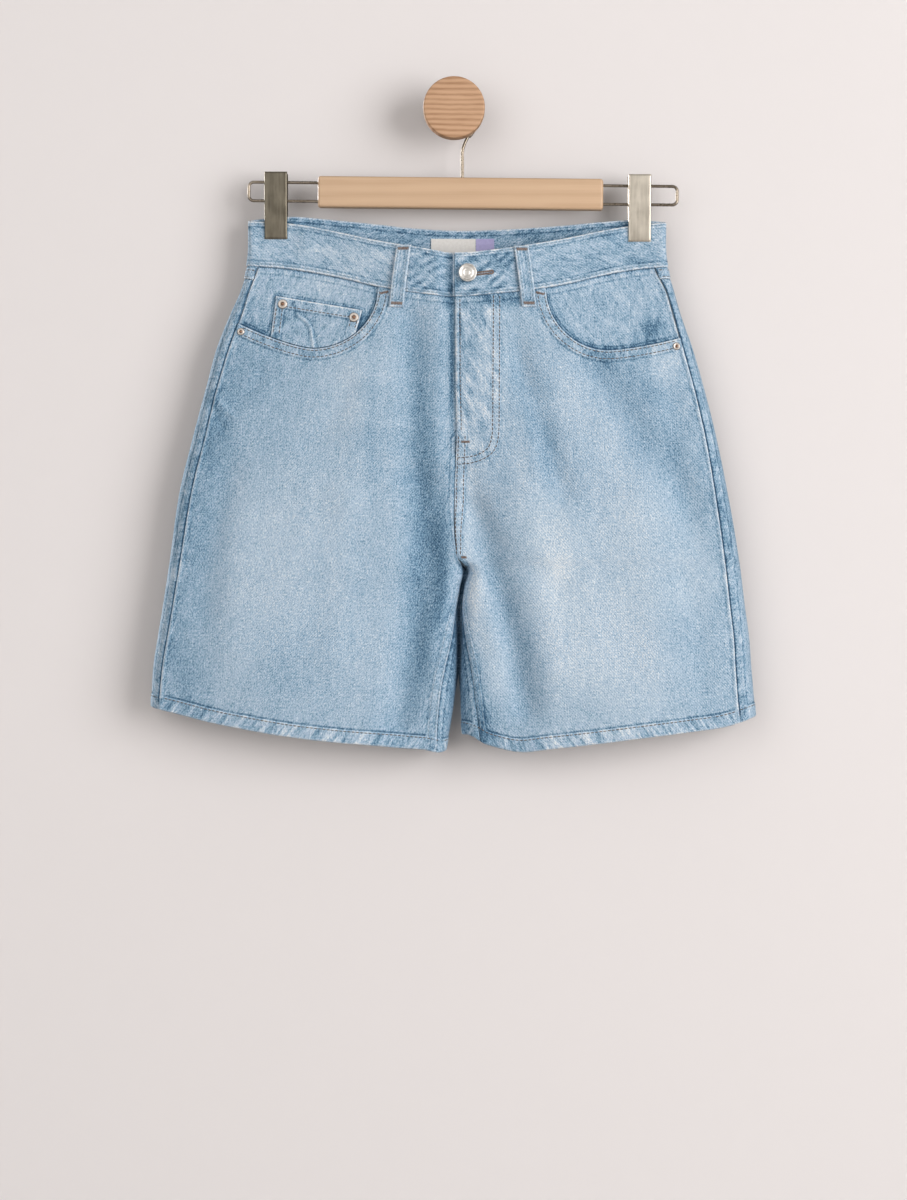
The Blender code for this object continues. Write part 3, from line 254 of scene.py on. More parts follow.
# Soft ovals by place, half widths and strength: positive where the wash has paled the blue; negative ones partly blue
# the wash left and partly painted shade, at the sides that turn away, in the folds, beside the fly, under the
# waistband, at the lap and between the legs.
WASH_AND_PAINTED_SHADE_OVALS = {
    FRONT: table("""x z  half_x half_z  strength
    -252 -470 10 60 -0.08; -238 -513 16 34 -0.14; -232 -330 20 150 -0.14; -230 -275 6 40 -0.12
    -222 -292 7 36 -0.13; -208 -285 12 45 -0.18; -185 -265 40 70 -0.08; -180 -396 26 50 0.06
    -165 -192 36 16 -0.1; -148 -505 30 46 -0.08; -130 -430 80 130 0.13; -112 -490 24 60 -0.06
    -112 -162 30 12 0.1; -110 -130 55 14 0.1; -96 -256 20 34 0.12; -74 -300 6 62 -0.13; -66 -318 46 6 0.06
    -62 -240 46 5 0.06; -58 -282 44 6 0.05; -54 -515 9 26 0.12; -38 -425 10 36 -0.1; -36 -515 12 34 -0.12
    -31 -250 9 60 -0.16; -30 -405 12 44 -0.15; -28 -500 8 26 -0.1; -24 -472 12 36 -0.2; -24 -330 10 50 -0.2
    -22 -180 8 24 0.12; -15 -458 8 30 -0.12; -14 -388 8 38 -0.24; -14 -235 9 90 -0.05; -11 -432 7 28 -0.2
    -8 -402 6 50 -0.12; -4 -174 5 6 -0.3; -4 -150 3 25 -0.3; -2 -228 2.2 66 -0.5; 8 -410 4 6 -0.3
    12 -385 8 34 0.1; 12 -350 10 60 0.18; 14 -440 8 20 0.08; 18 -562 14 14 -0.35; 20 -512 8 34 -0.16
    21 -432 7 26 0.14; 22 -545 16 26 -0.3; 22 -452 12 50 0.1; 24 -297 10 20 0.1; 27 -360 8 30 0.1
    36 -240 16 60 0.18; 37 -417 8 18 -0.1; 40 -510 12 34 0.16; 40 -172 24 7 -0.34; 47 -137 12 9 -0.22
    51 -446 9 20 -0.12; 52 -248 10 28 -0.12; 59 -315 7 36 0.1; 65 -476 9 20 -0.12; 66 -262 26 5 0.05
    68 -280 8 28 -0.1; 70 -490 20 60 -0.05; 77 -502 9 20 -0.1; 84 -320 8 44 -0.17; 88 -400 18 60 0.2
    96 -418 10 24 0.1; 106 -256 18 30 0.14; 108 -350 16 34 -0.1; 112 -136 30 12 -0.08; 122 -536 26 14 -0.07
    122 -178 26 14 -0.07; 130 -500 80 45 0.07; 130 -130 36 10 -0.06; 134 -226 22 20 -0.16; 140 -430 80 135 0.2
    140 -302 12 22 0.1; 158 -252 16 26 -0.1; 172 -508 20 30 0.06; 176 -437 16 30 -0.06; 176 -292 22 32 -0.14
    176 -252 12 16 -0.12; 184 -232 14 18 0.2; 193 -215 9 30 0.1; 194 -477 14 24 -0.08; 199 -310 12 36 -0.13
    200 -205 6 40 0.06; 207 -490 22 50 -0.08; 214 -440 16 60 0.06; 222 -395 18 36 0.08; 230 -425 12 44 0.07
    236 -320 20 150 -0.14"""),
    BACK: table("""x z  half_x half_z  strength
    -232 -330 22 130 -0.12; -120 -400 76 120 0.15; -100 -262 50 44 0.08; 0 -330 22 90 -0.12; 4 -480 10 100 -0.42
    102 -260 50 44 0.08; 122 -398 76 122 0.15; 236 -330 22 130 -0.12"""),
}

# The J-shaped fly stitching, outer row, by x and z, and how far inside it the second row runs.
FLY_CURVE = ((40.9, -168.0), (40.4, -240.0), (40.2, -279.0), (39.2, -297.0), (34.6, -308.6), (24.6, -315.4),
             (14.6, -318.3), (2.2, -319.4))
FLY_SECOND_ROW = 5.6
FLY_FACING_RISE = 0.45
# Bartacks at the fly's foot and at the crotch, by x, z and length.
FLY_TACKS = ((10.3, -299.4, 7.5), (8.6, -402.5, 6.0))

# What a cloth mesh carries for its material, by vertex, and how much a fold's height tones the cloth for each mm:
# paler on its ridges, as the wash rubs them, and darker in its troughs as painted shade.
MARKS = ("away", "run", "band", "lip", "rub", "wear", "marble", "paled_and_shaded", "reverse")
FOLD_WEAR_AND_PAINTED_SHADE = 0.016

# Kinds of sewn edge: band, rise, edge, pucker, pitch, wear and lip, then where threaded the rows and their trim.
SEAM_KINDS = {
    "front_waist": (5, 0, 0.3, 0.3, 9, 0.6, -0.9),
    "mouth": (9.4, 0.65, 0.7, 0.16, 10, 0.7, 1, (1.7, 7.6), (2, 4)),
    "front_outseam": (2.6, 0.55, 0.4, 0.14, 17, 0.3, 3),
    "hem": (HEM_HEIGHT, 0.6, 0.9, 0.45, 11, 1.2, 0.45, (HEM_HEIGHT - 1.4,), (0, 0)),
    "inseam_right": (8.6, 0.4, 0.5, 0.22, 11, 0.5, 1, (1.6, 7.2), (4, 12)),
    "inseam_left": (6, 0.4, 0.5, 0.22, 11, 0.5, 0.4, (1.6, 5), (4, 12)),
    "fly_edge": (3, 0.25, 0.6, 0.12, 12, 0.85, 1.2, (4.2,), (1, 2)),
    "fly_stitching": (3.7, 0.1, 0, 0.12, 7, 0.35, 0),
    "crotch_left": (8.5, 0.4, 0.5, 0.25, 10, 0.6, 1, (1.6, 7.6), (4, 2)),
    "crotch_right": (4, 0, 0.5, 0.2, 10, 0.6, -1),
    "facing_top": (5, 0, 0.2, 0.4, 11, 0.6, -0.9),
    "facing_outseam": (2.6, 0.5, 0.4, 0.2, 15, 0.3, 3),
    # Painted shadow: dark lines on the facing under the mouth's edge and round the coin pocket.
    "painted_shadow_under_mouth": (1.6, 0, 0, 0, 8, 0.8, -1.3),
    "painted_shadow_round_coin": (1.4, 0, 0, 0, 8, 0.8, -1.2),
    "coin_top": (9.4, 0.7, 0.6, 0.25, 9, 0.9, 1.3, (8,), (9, 9)),
    "coin_outer": (8.4, 0.3, 0.6, 0.2, 8, 0.8, 1, (1.6, 7), (9, 2)),
    "coin_inner": (8.4, 0.3, 0.6, 0.2, 8, 0.7, 1, (1.6, 7), (9, 2)),
    "yoke_top": (5, 0, 0.2, 0.3, 10, 0.6, -0.9),
    "yoke_foot": (8.8, 0.5, 0.5, 0.22, 9, 0.7, 1, (1.7, 7.6), (3, 3)),
    "yoke_centre": (8.8, 0.35, 0.5, 0.2, 9, 0.6, 1, (1.6, 7.4), (1, 1)),
    "yoke_outseam": (5, 0, 0.5, 0.25, 15, 0.7, -1.8),
    "back_top": (4, 0, 0.4, 0.3, 9, 0.6, -0.9),
    "back_outseam": (7, 0, 0.6, 0.3, 19, 0.7, -1.8),
    "back_inseam": (4, 0, 0.4, 0.2, 11, 0.6, -0.9),
    "back_centre": (8.8, 0.35, 0.5, 0.2, 9, 0.6, 1, (1.6, 7.4), (1, 3)),
    "pocket_top": (11.5, 0.4, 0.7, 0.3, 11, 0.8, 1, (1.8, 10.2), (3, 3)),
    "pocket_side": (7.6, 0.3, 0.7, 0.2, 9, 0.75, 1, (1.6, 6.8), (1.5, 1.5)),
    "band_top": (4, 0.12, 0.9, 0.2, 9, 0.75, 1.5, (2.2,), (2, 2)),
    "band_foot": (4, 0.12, 0.8, 0.22, 8, 0.75, 1.4, (2.2,), (2, 2)),
    "band_lap": (4, 0.2, 0.9, 0.12, 9, 0.5, 2.6, (2.2,), (2.4, 2.4)),
    "band_underlap": (4, 0.2, 0.9, 0.1, 9, 0.3, 1),
    "loop_side": (3.6, 0.35, 0.8, 0.12, 6, 0.4, 2, (2.3,), (4.5, 4.5)),
    "loop_end": (5, 0.3, 0.8, 0.1, 5, 0.4, 2),
    "label_top": (3, 0.1, 0.2, 0.08, 9, 0, 1),
}


# ---- Curves and tables ----


def along(rows, column, at):
    """A table's column as a smooth curve through its rows: cubic pieces with the slopes of their neighbours."""
    key = next(iter(rows.values()))
    value = rows[column]
    at = np.clip(at, key[0], key[-1])
    slope = np.gradient(value, key)
    low = np.clip(np.searchsorted(key, at, "right") - 1, 0, len(key) - 2)
    span = key[low + 1] - key[low]
    t = (at - key[low]) / span
    start = (1 + 2 * t) * (1 - t) ** 2 * value[low] + t * (1 - t) ** 2 * span * slope[low]
    end = t * t * (3 - 2 * t) * value[low + 1] + t * t * (t - 1) * span * slope[low + 1]
    return start + end


def smooth(low, high, value):
    """0 at low, 1 at high, with level ends."""
    t = np.clip((value - low) / (high - low), 0, 1)
    return t * t * (3 - 2 * t)


def shares(count):
    """Even shares from 0 to 1."""
    return np.linspace(0, 1, count)


def quarter(count):
    """A quarter turn in even steps."""
    return np.linspace(0, math.pi / 2, count)


def graded(start_span, start_cells, middle_cells, end_cells, end_span):
    """Shares from 0 to 1: close together over a span at each end, even between them."""
    return np.r_[np.linspace(0, start_span, start_cells, endpoint=False),
                 np.linspace(start_span, 1 - end_span, middle_cells, endpoint=False),
                 np.linspace(1 - end_span, 1, end_cells + 1)]


def points_of(*columns):
    """Points, or pairs, from arrays of their coordinates."""
    return np.stack(np.broadcast_arrays(*columns), axis=-1)


def pick(border, share):
    """Points at a share of the way along a border that is given by evenly spaced points."""
    at = np.linspace(0, 1, len(border))
    return np.stack([np.interp(share[..., 0], at, border[:, k]) for k in range(border.shape[1])], axis=-1)


def run_of(points):
    """How far along a path each of its points lies."""
    return np.r_[0, np.cumsum(np.linalg.norm(np.diff(points, axis=0), axis=1))]


def at_runs(points, runs):
    """The points of a path that lie at the given distances along it."""
    points = np.asarray(points, float)
    length = run_of(points)
    return np.stack([np.interp(runs, length, points[:, k]) for k in range(points.shape[1])], axis=-1)


def evenly(points, count=161):
    """The same path by evenly spaced points."""
    points = np.asarray(points, float)
    return at_runs(points, np.linspace(0, run_of(points)[-1], count))


def rounded(points, per_span=12):
    """A smooth path through a few points: on each span a cubic whose end slopes follow the neighbouring points."""
    points = np.asarray(points, float)
    before, after = 2 * points[0] - points[1], 2 * points[-1] - points[-2]
    p = np.concatenate([[before], points, [after]])
    t = np.linspace(0, 1, per_span, endpoint=False)[:, None]
    spans = [
        0.5 * (2 * p[k] + (p[k + 1] - p[k - 1]) * t + (2 * p[k - 1] - 5 * p[k] + 4 * p[k + 1] - p[k + 2]) * t**2
               + (3 * p[k] - 3 * p[k + 1] + p[k + 2] - p[k - 1]) * t**3)
        for k in range(1, len(points))
    ]
    return np.concatenate([*spans, points[-1:]])


def unit(vectors):
    """The vectors at length 1."""
    return vectors / np.maximum(np.linalg.norm(vectors, axis=-1, keepdims=True), 1e-9)


def coons(top, bottom, start, end, u, v):
    """A patch filled between four borders: the two blends across, less the blend of the corners."""
    top, bottom, start, end = (np.asarray(border) for border in (top, bottom, start, end))
    u, v = u[..., None], v[..., None]
    corners = (1 - v) * ((1 - u) * top[0] + u * top[-1]) + v * ((1 - u) * bottom[0] + u * bottom[-1])
    return (1 - v) * pick(top, u) + v * pick(bottom, u) + (1 - u) * pick(start, v) + u * pick(end, v) - corners


# ---- The hung form ----


def outline(column, side, z):
    """A column of OUTLINE at this height."""
    return np.where(side > 0, along(OUTLINE, column + "_left", z), along(OUTLINE, column + "_right", z))


def depth_column(column, face, z):
    """A column of DEPTH at this height."""
    return np.where(face > 0, along(DEPTH, column + "_back", z), along(DEPTH, column + "_front", z))


def half_section(side, z):
    """A half section's inner edge x, width, inner and outer rounding and the length of cloth across it."""
    inner = outline("inner", side, z)
    width = np.abs(outline("outer", side, z) - inner)
    near_crotch = np.clip((CROTCH_Z + CROTCH_BLEND - z) / CROTCH_BLEND, 0.03, 1)
    turn = INNER_ROUND * near_crotch
    fold = along(DEPTH, "fold", z)
    return inner, width, turn, fold, width + (math.pi / 2 - 1) * (turn + fold)


def creases(face, x, z):
    """The sum of the creases, each height * bell(distance / width), plus a faint unevenness made of slow sines."""
    total = np.zeros(np.broadcast(face, x, z).shape)
    for on_face, rows in CREASES.items():
        for x0, z0, x1, z1, height, width, bow in zip(*rows.values()):
            run = np.array([x1 - x0, z1 - z0])
            length = math.hypot(*run)
            down = ((x - x0) * run[0] + (z - z0) * run[1]) / length
            share = np.clip(down / length, 0, 1)
            aside = ((z - z0) * run[0] - (x - x0) * run[1]) / length - bow * (1 - (2 * share - 1) ** 2)
            past = down - share * length
            total += np.where(face == on_face, height * np.exp(-(aside**2 + past**2) / width**2), 0)
    slow = np.sin(x / 19 + 1.9 * np.sin(z / 57 + face)) * np.sin(z / 41 + 1.6 * np.sin(x / 33))
    quick = np.sin(x / 7.3 + 2.3 * np.sin(z / 23)) * np.sin(z / 15 + 2.0 * np.sin(x / 13 + face))
    return total + 0.30 * slow + 0.07 * quick


def fullness(face, x, share, z):
    """How far the cloth stands from the mid plane: side depth, opened waist, leg crown and clip pinches."""
    reach = np.minimum(np.abs(x - BODY_X) / OPENING_HALF_SPAN, 1)
    opened = depth_column("open", face, z) * np.cos(reach * math.pi / 2) ** 2
    crown = depth_column("leg", face, z) * np.sin(math.pi * np.clip(share, 0, 1))
    pinch = 0
    for clip_x in CLIP_X.values():
        pinch = pinch + PINCH_DEPTH * (1 - smooth(PINCH_REACH / 2, PINCH_REACH, np.abs(x - clip_x)))
    pinch = pinch * smooth(PINCH_FOOT_Z, PINCH_FULL_Z, z)
    return depth_column("edge", face, z) + opened + crown - pinch


def surface(side, face, q, z):
    """Points of the form. The section runs level from the inner edge, turns round the side fold on a quarter
    circle, and stands from the mid plane by its fullness and creases. Behind the gap under the crotch the backs of
    the legs swell inwards until they nearly touch. q past 1 turns on to the other face. Below the crotch, so does q
    under 0, and above it q under 0 runs on past the centre line."""
    side, face, q, z = np.broadcast_arrays(side, face, np.asarray(q, float), np.asarray(z, float))
    inner, width, turn, fold, length = half_section(side, z)
    in_leg = z < CROTCH_Z
    face = np.where((q > 1) | (in_leg & (q < 0)), -face, face)
    way = np.where(~in_leg & (q < 0), -1.0, 1.0)
    s = np.abs(np.where(q > 1, 2 - q, q)) * length
    from_outer = np.minimum((length - s) / fold, math.pi / 2)
    from_inner = np.minimum(s / turn, math.pi / 2)
    near = turn * (1 - np.cos(from_inner)) + np.maximum(s - turn * math.pi / 2, 0)
    across = np.where(from_outer < math.pi / 2, width - fold * (1 - np.cos(from_outer)), near) * way
    above = np.maximum(z - CROTCH_Z, 0)
    reach = np.minimum(np.hypot(across, 2.2 * above) / INNER_ROUND, 1)
    rounding = np.sqrt(1 - (1 - reach) ** 2) * np.sin(from_outer)
    gap = outline("inner", LEFT, z) - outline("inner", RIGHT, z)
    touching = (face == BACK) * smooth(-545, -498, z) * smooth(CROTCH_Z + 5, CROTCH_Z - 2, z)
    x = inner + side * (across - touching * (3.7 + 0.5 * gap) * np.sin(2 * from_inner) ** 2)
    depth = (fullness(face, x, np.abs(across) / width, z) + creases(face, x, z)) * rounding
    fly = (face == FRONT) & (side == RIGHT)
    sunk = FLY_SINK * smooth(-16, -5, x) * smooth(FLY_BOTTOM_Z - 26, FLY_BOTTOM_Z - 12, z)
    depth = depth - np.where(fly, sunk, 0)
    return points_of(x, MID_Y + face * depth, z)


def outward(side, face, q, z):
    """Unit normals of the form, pointing out of the garment, from central differences."""
    step_q, step_z = 1e-4, 0.02
    across = surface(side, face, q + step_q, z) - surface(side, face, q - step_q, z)
    up = surface(side, face, q, z + step_z) - surface(side, face, q, z - step_z)
    normal = np.cross(across, up) * -(side * face * np.ones(np.shape(q)))[..., None]
    return unit(normal)


def stand(side, face, q, z):
    """Points of the form and the normals there."""
    return surface(side, face, q, z), outward(side, face, q, z)


def q_at(side, x, z):
    """The share q of the way across the half section at which the form's surface is at this x."""
    inner, width, turn, fold, length = half_section(side, z)
    across = side * (np.asarray(x, float) - inner)
    near = np.arccos(np.clip(1 - np.abs(across) / turn, -1, 1)) * turn
    s = np.where(np.abs(across) < turn, near, np.abs(across) + (math.pi / 2 - 1) * turn) * np.sign(across)
    end = np.arccos(np.clip(1 - (width - across) / fold, -1, 1)) * fold
    return np.where(across > width - fold, length - end, s) / length


def outseam_q(side, z):
    """Where the outseam runs on the front face."""
    return q_at(side, outline("outer", side, z) - side * outline("strip", side, z), z)


def inseam_q(side, z):
    """Where the inseam runs on the front face, below the crotch."""
    return q_at(side, outline("inner", side, z) + side * np.maximum(outline("turn", side, z), 0), z)


def seam_gap_q(side, z):
    """Half a seam's gap, as a share of the half section."""
    return SEAM_GAP / 2 / half_section(side, z)[-1]


def waist_z(edge, face, x):
    """Height of the waistband's top edge or seam."""
    return along(WAIST, edge + ("_front" if face == FRONT else "_back"), x)


def strip_of_girth(girth):
    """Side, face and q of a place round the waist: 0 to 4 from the centre front by the left side, the centre
    back and the right side to the centre front again. Under 0 and over 4 it runs on past the centre front."""
    side = np.where((girth >= 0) & (girth < 2) | (girth >= 4), LEFT, RIGHT)
    face = np.where((girth >= 1) & (girth < 3), BACK, FRONT)
    q = np.select(
        [girth < 0, girth < 1, girth < 2, girth < 3, girth < 4],
        [-girth, girth, 2 - girth, girth - 2, 4 - girth],
        girth - 4,
    )
    return side, face, q


def waist_edge_z(edge, girth):
    """Height of the waistband's top edge or seam at a place round the waist."""
    side, face, q = strip_of_girth(girth)
    z = np.full(np.shape(q), BAND_MID_Z)
    for _ in range(3):
        x = surface(side, face, q, z)[..., 0]
        z = np.where(face == FRONT, waist_z(edge, FRONT, x), waist_z(edge, BACK, x))
    return z


def mouth_path(side, count=81):
    """The scooped pocket mouth as (x, z) points: a quarter ellipse down from its corner, then a rise to the
    outseam."""
    mouth = MOUTHS[side]
    corner_z = waist_z("seam", FRONT, mouth["corner_x"]) - SEAM_GAP
    turn = quarter(count)
    arc_x = mouth["low_x"] + (mouth["corner_x"] - mouth["low_x"]) * np.cos(turn)
    arc_z = corner_z + (mouth["low_z"] - corner_z) * np.sin(turn)
    end_x = surface(side, FRONT, outseam_q(side, mouth["end_z"]), mouth["end_z"])[0]
    share = shares(count)[1:]
    rise_x = mouth["low_x"] + (end_x - mouth["low_x"]) * share
    rise_z = mouth["low_z"] + (mouth["end_z"] - mouth["low_z"]) * share ** mouth["rise"]
    return evenly(points_of(np.r_[arc_x, rise_x], np.r_[arc_z, rise_z]))


def to_q(side, path):
    """(x, z) points as (q, z) points."""
    path = np.asarray(path, float)
    return points_of(q_at(side, path[:, 0], path[:, 1]), path[:, 1])


def yoke_z(x):
    """The yoke's seam: high at the sides and lowest at the centre back."""
    share = np.clip(np.abs(np.asarray(x) - 1) / YOKE_HALF_SPAN, 0, 1)
    return YOKE_SIDE_Z - YOKE_DROP * (1 - share) ** 1.1


def hem_border(side, face, q_start, q_end, count=121):
    """The hem as (q, z) points between two places across the leg."""
    q = np.linspace(q_start, q_end, count)
    z = along(HEM, "z", surface(side, face, q, np.full(count, HEM_MID_Z))[:, 0])
    return points_of(q, along(HEM, "z", surface(side, face, q, z)[:, 0]))


def wrapped_border(side, height, q_start, guess_z, count=121):
    """A border that runs from the centre back round the side to the outseam, as (q, z) points."""
    q_end = 2 - outseam_q(side, guess_z)
    q = np.linspace(q_start, q_end, count)
    x = surface(side, BACK, q, np.full(count, guess_z))[:, 0]
    z = height(x, q)
    end_q = 2 - outseam_q(side, z[-1]) - seam_gap_q(side, z[-1])
    q = q_start + (q - q_start) * (end_q - q_start) / (q_end - q_start)
    return points_of(q, z)


# ---- Sewn cloth ----


def uneven(t, seed=0.0):
    """A smooth line of uneven heights between -1 and 1, one for each whole number, as if drawn by hand."""
    whole = np.floor(t)

    def height(k):
        return 2 * np.mod(np.sin((k + seed) * 12.9898) * 43758.5453, 1) - 1

    return height(whole) + (height(whole + 1) - height(whole)) * smooth(0, 1, t - whole)


def nearest(path, a, b):
    """The distance of each place from a path of (a, b) points, and how far along the path its nearest point lies."""
    best, at_run = np.full(np.shape(a), np.inf), np.zeros(np.shape(a))
    for start, step, run in zip(path[:-1], np.diff(path, axis=0), run_of(path)):
        long2 = max(step.dot(step), 1e-9)
        share = np.clip(((a - start[0]) * step[0] + (b - start[1]) * step[1]) / long2, 0, 1)
        away = np.hypot(a - start[0] - share * step[0], b - start[1] - share * step[1])
        closer = away < best
        best = np.where(closer, away, best)
        at_run = np.where(closer, run + share * math.sqrt(long2), at_run)
    return best, at_run


class Seam:
    """A sewn or folded edge of one of SEAM_KINDS along a path of (a, b) points. Over its band the cloth is doubled and
    stands up by rise; its very edge rounds off, and lip is how white (or, negative, how dark) that edge is, the dark
    line on a pocket facing under the mouth's edge and round the coin pocket being painted shadow; it puckers at about
    its pitch. rows are the distances from the edge at which thread runs, each trimmed at its ends."""

    def __init__(self, kind, path, threaded=True):
        self.path, self.pale = np.asarray(path, float), kind.startswith("inseam")
        values = (*SEAM_KINDS[kind], (), (0, 0))[:9]
        self.band, self.rise, self.edge, self.pucker, self.pitch, self.wear, self.lip, rows, self.trim = values
        self.rows = rows if threaded else ()

    def relief(self, a, b):
        """How far the cloth stands up at each place, and the place's distances aside from and along the edge."""
        away, run = nearest(self.path, a, b)
        lean = run + 0.25 * away
        ripple = 0.7 * uneven(lean / (0.5 * self.pitch), self.band) + 0.5 * uneven(lean / (0.21 * self.pitch), 7)
        inside = 1 - smooth(self.band - 0.9, self.band + 0.9, away)
        fading = np.exp(-np.maximum(away - self.band, 0) ** 2 / (0.8 * self.band + 3) ** 2)
        lift = self.rise * inside - self.edge * (1 - smooth(0, 1.1, away)) ** 2
        lift = lift + self.pucker * ripple * (0.35 + 0.65 * inside) * fading * smooth(0, 1.5, away)
        for row in self.rows:
            lift = lift - 0.16 * np.exp(-(((away - row) / 0.9) ** 2))
        return lift, away, run


class Piece:
    """A cloth piece: at(a, b) gives the side, face, q and z of a place on it, lift and wall (each a number or a
    function of a and b) are the height of its outer face over the form and its thickness, and seams and extra(a, b)
    add relief, tone and marbling."""

    def __init__(self, at, lift=0.0, wall=DENIM, seams=(), extra=None):
        self.at, self.seams, self.extra = at, seams, extra
        self.lift = lift if callable(lift) else lambda a, b: lift
        self.wall = wall if callable(wall) else lambda a, b: wall

    def relief(self, a, b):
        """The sum of the seams' and the extra relief, and the marks that the material reads: the distances from and
        along the seam whose band each place is in or nearest to, that seam's band, lip and wear, the extra tone, which
        is wear and, on the pocket facings, painted shadow, and the strength of the marbling, which is full along
        seams."""
        lift = np.zeros(np.shape(a))
        marks = {key: np.zeros(np.shape(a)) for key in MARKS}
        marks["away"] += 99
        closest = np.full(np.shape(a), np.inf)
        for place, seam in enumerate(self.seams):
            more_lift, away, run = seam.relief(a, b)
            lift = lift + more_lift
            nearer = away - seam.band < closest
            closest = np.where(nearer, away - seam.band, closest)
            values = (away, run + 700 * place, seam.band, seam.lip * seam.wear, seam.wear)
            for key, value in zip(("away", "run", "band", "lip", "rub"), values):
                marks[key] = np.where(nearer, value, marks[key])
        marble = PLAIN_MARBLE
        if self.extra:
            more_lift, marks["wear"], more_marble = self.extra(a, b)
            lift, marble = lift + more_lift, np.maximum(marble, more_marble)
        along_seams = 0.75 * np.exp(-((np.maximum(closest, 0) / 7) ** 2))
        marks["marble"] = np.maximum(marble, marble + (1 - marble) * along_seams)
        return lift, marks

    def points(self, a, b, more=0.0):
        """Places on the outer face, and the outward normals there."""
        base, normal = stand(*self.at(a, b))
        return base + normal * (self.lift(a, b) + self.relief(a, b)[0] + more)[..., None], normal


def flat_of_leg(side, q, z):
    """Flat measures of a place: the distance of cloth from the inner edge, and the height."""
    return q * half_section(side, z)[-1], z


def leg_place(side, face):
    """The inverse of flat_of_leg, for a Piece."""

    def at(a, b):
        return side, face, a / half_section(side, b)[-1], b

    return at


def patch(side, top, bottom, start, end):
    """The flat measures of the patch between four borders of (q, z) points, as a function of its two shares."""

    def flat(u, v):
        return flat_of_leg(side, *np.moveaxis(coons(top, bottom, start, end, u, v), -1, 0))

    return flat


def flat_path(side, path):
    """(x, z) points as flat (a, b) points."""
    return np.stack(flat_of_leg(side, *to_q(side, path).T), axis=-1)


def flat_spot(side, x, z):
    return flat_path(side, [(x, z)])[0]


def flat_border(side, border):
    """(q, z) points as flat (a, b) points, at most some 60 of them."""
    step = max(1, len(border) // 60)
    kept = np.concatenate([border[:-1:step], border[-1:]])
    return np.stack(flat_of_leg(side, *kept.T), axis=-1)


def offset_path(path, away, toward):
    """The path moved sideways by a distance, to the side on which the place toward lies."""
    path = evenly(path, max(24, int(run_of(path)[-1] / 3)))
    step = unit(np.gradient(path, axis=0))
    aside = points_of(-step[:, 1], step[:, 0])
    middle = len(path) // 2
    turn = np.sign(aside[middle].dot(np.asarray(toward) - path[middle]))
    return path + aside * turn * away


def seam_rows(piece, toward, pale=False):
    """The thread rows of a piece's seams in the dark thread, or of those in the pale one, as (piece, path) pairs."""
    rows = []
    for seam in piece.seams:
        for away in seam.rows if seam.pale == pale else ():
            path = offset_path(seam.path, away, toward)
            length = run_of(path)[-1]
            inside = np.linspace(seam.trim[0], length - seam.trim[1], max(8, int(length / 2.5)))
            rows.append((piece, at_runs(path, inside)))
    return rows


# ---- Meshes ----


def quads(rows, columns, first=0, wrap=False):
    """Faces of a grid whose points are numbered row by row. With wrap, the last column joins the first."""
    row = np.arange(rows - 1)[:, None] * columns
    column = np.arange(columns if wrap else columns - 1)[None, :]
    following = (column + 1) % columns
    corners = points_of(row + column, row + following, row + columns + following, row + columns + column)
    return first + corners.reshape(-1, 4)


def wall_faces(rows, columns):
    """Faces of a closed wall, whose inner grid is numbered after its outer one: both grids and the rim between them.
    Also the rim's points in order."""
    count = rows * columns
    index = np.arange(count).reshape(rows, columns)
    rim = np.concatenate([index[0, :-1], index[:-1, -1], index[-1, :0:-1], index[:0:-1, 0]])
    following = np.roll(rim, -1)
    edge = points_of(following, rim, rim + count, following + count)
    return np.concatenate([quads(rows, columns), quads(rows, columns, count)[:, ::-1], edge]), rim


def add_object(name, data):
    """An object of this data in the scene."""
    made = bpy.data.objects.new(name, data)
    bpy.context.scene.collection.objects.link(made)
    return made


def make_object(name, points_mm, faces, finish, node=None, uv=None, tones=None, sharp=55):
    """A mesh object from arrays: points in mm, four-cornered faces, flat measures in mm and named tones. It turns all
    faces round when the volume they enclose is negative. It stands for its CAD node, if it has one, in the slot of
    its finish's name, or of denim for each denim."""
    points = np.reshape(points_mm, (-1, 3)) * MM
    faces = np.asarray(faces)
    corner = points[faces]
    volume = (np.cross(corner[:, 0], corner[:, 1]) * corner[:, 2]).sum()
    volume += (np.cross(corner[:, 0], corner[:, 2]) * corner[:, 3]).sum()
    if volume < 0:
        faces = faces[:, ::-1]
    mesh = bpy.data.meshes.new(name)
    mesh.from_pydata(points, [], faces)
    if uv is not None:
        loops = np.empty(len(mesh.loops), np.int32)
        mesh.loops.foreach_get("vertex_index", loops)
        layer = mesh.uv_layers.new(name="cloth")
        layer.data.foreach_set("uv", (np.asarray(uv) * MM)[loops].astype(np.float32).ravel())
    for key, value in (tones or {}).items():
        layer = mesh.attributes.new(key, "FLOAT", "POINT")
        layer.data.foreach_set("value", np.asarray(value, np.float32).ravel())
    mesh.validate()
    mesh.shade_smooth()
    mesh.set_sharp_from_angle(angle=math.radians(sharp))
    mesh.materials.append(finishes()[finish])
    made = add_object(name, mesh)
    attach(made, "root")
    if node:
        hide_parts(node)
    return made


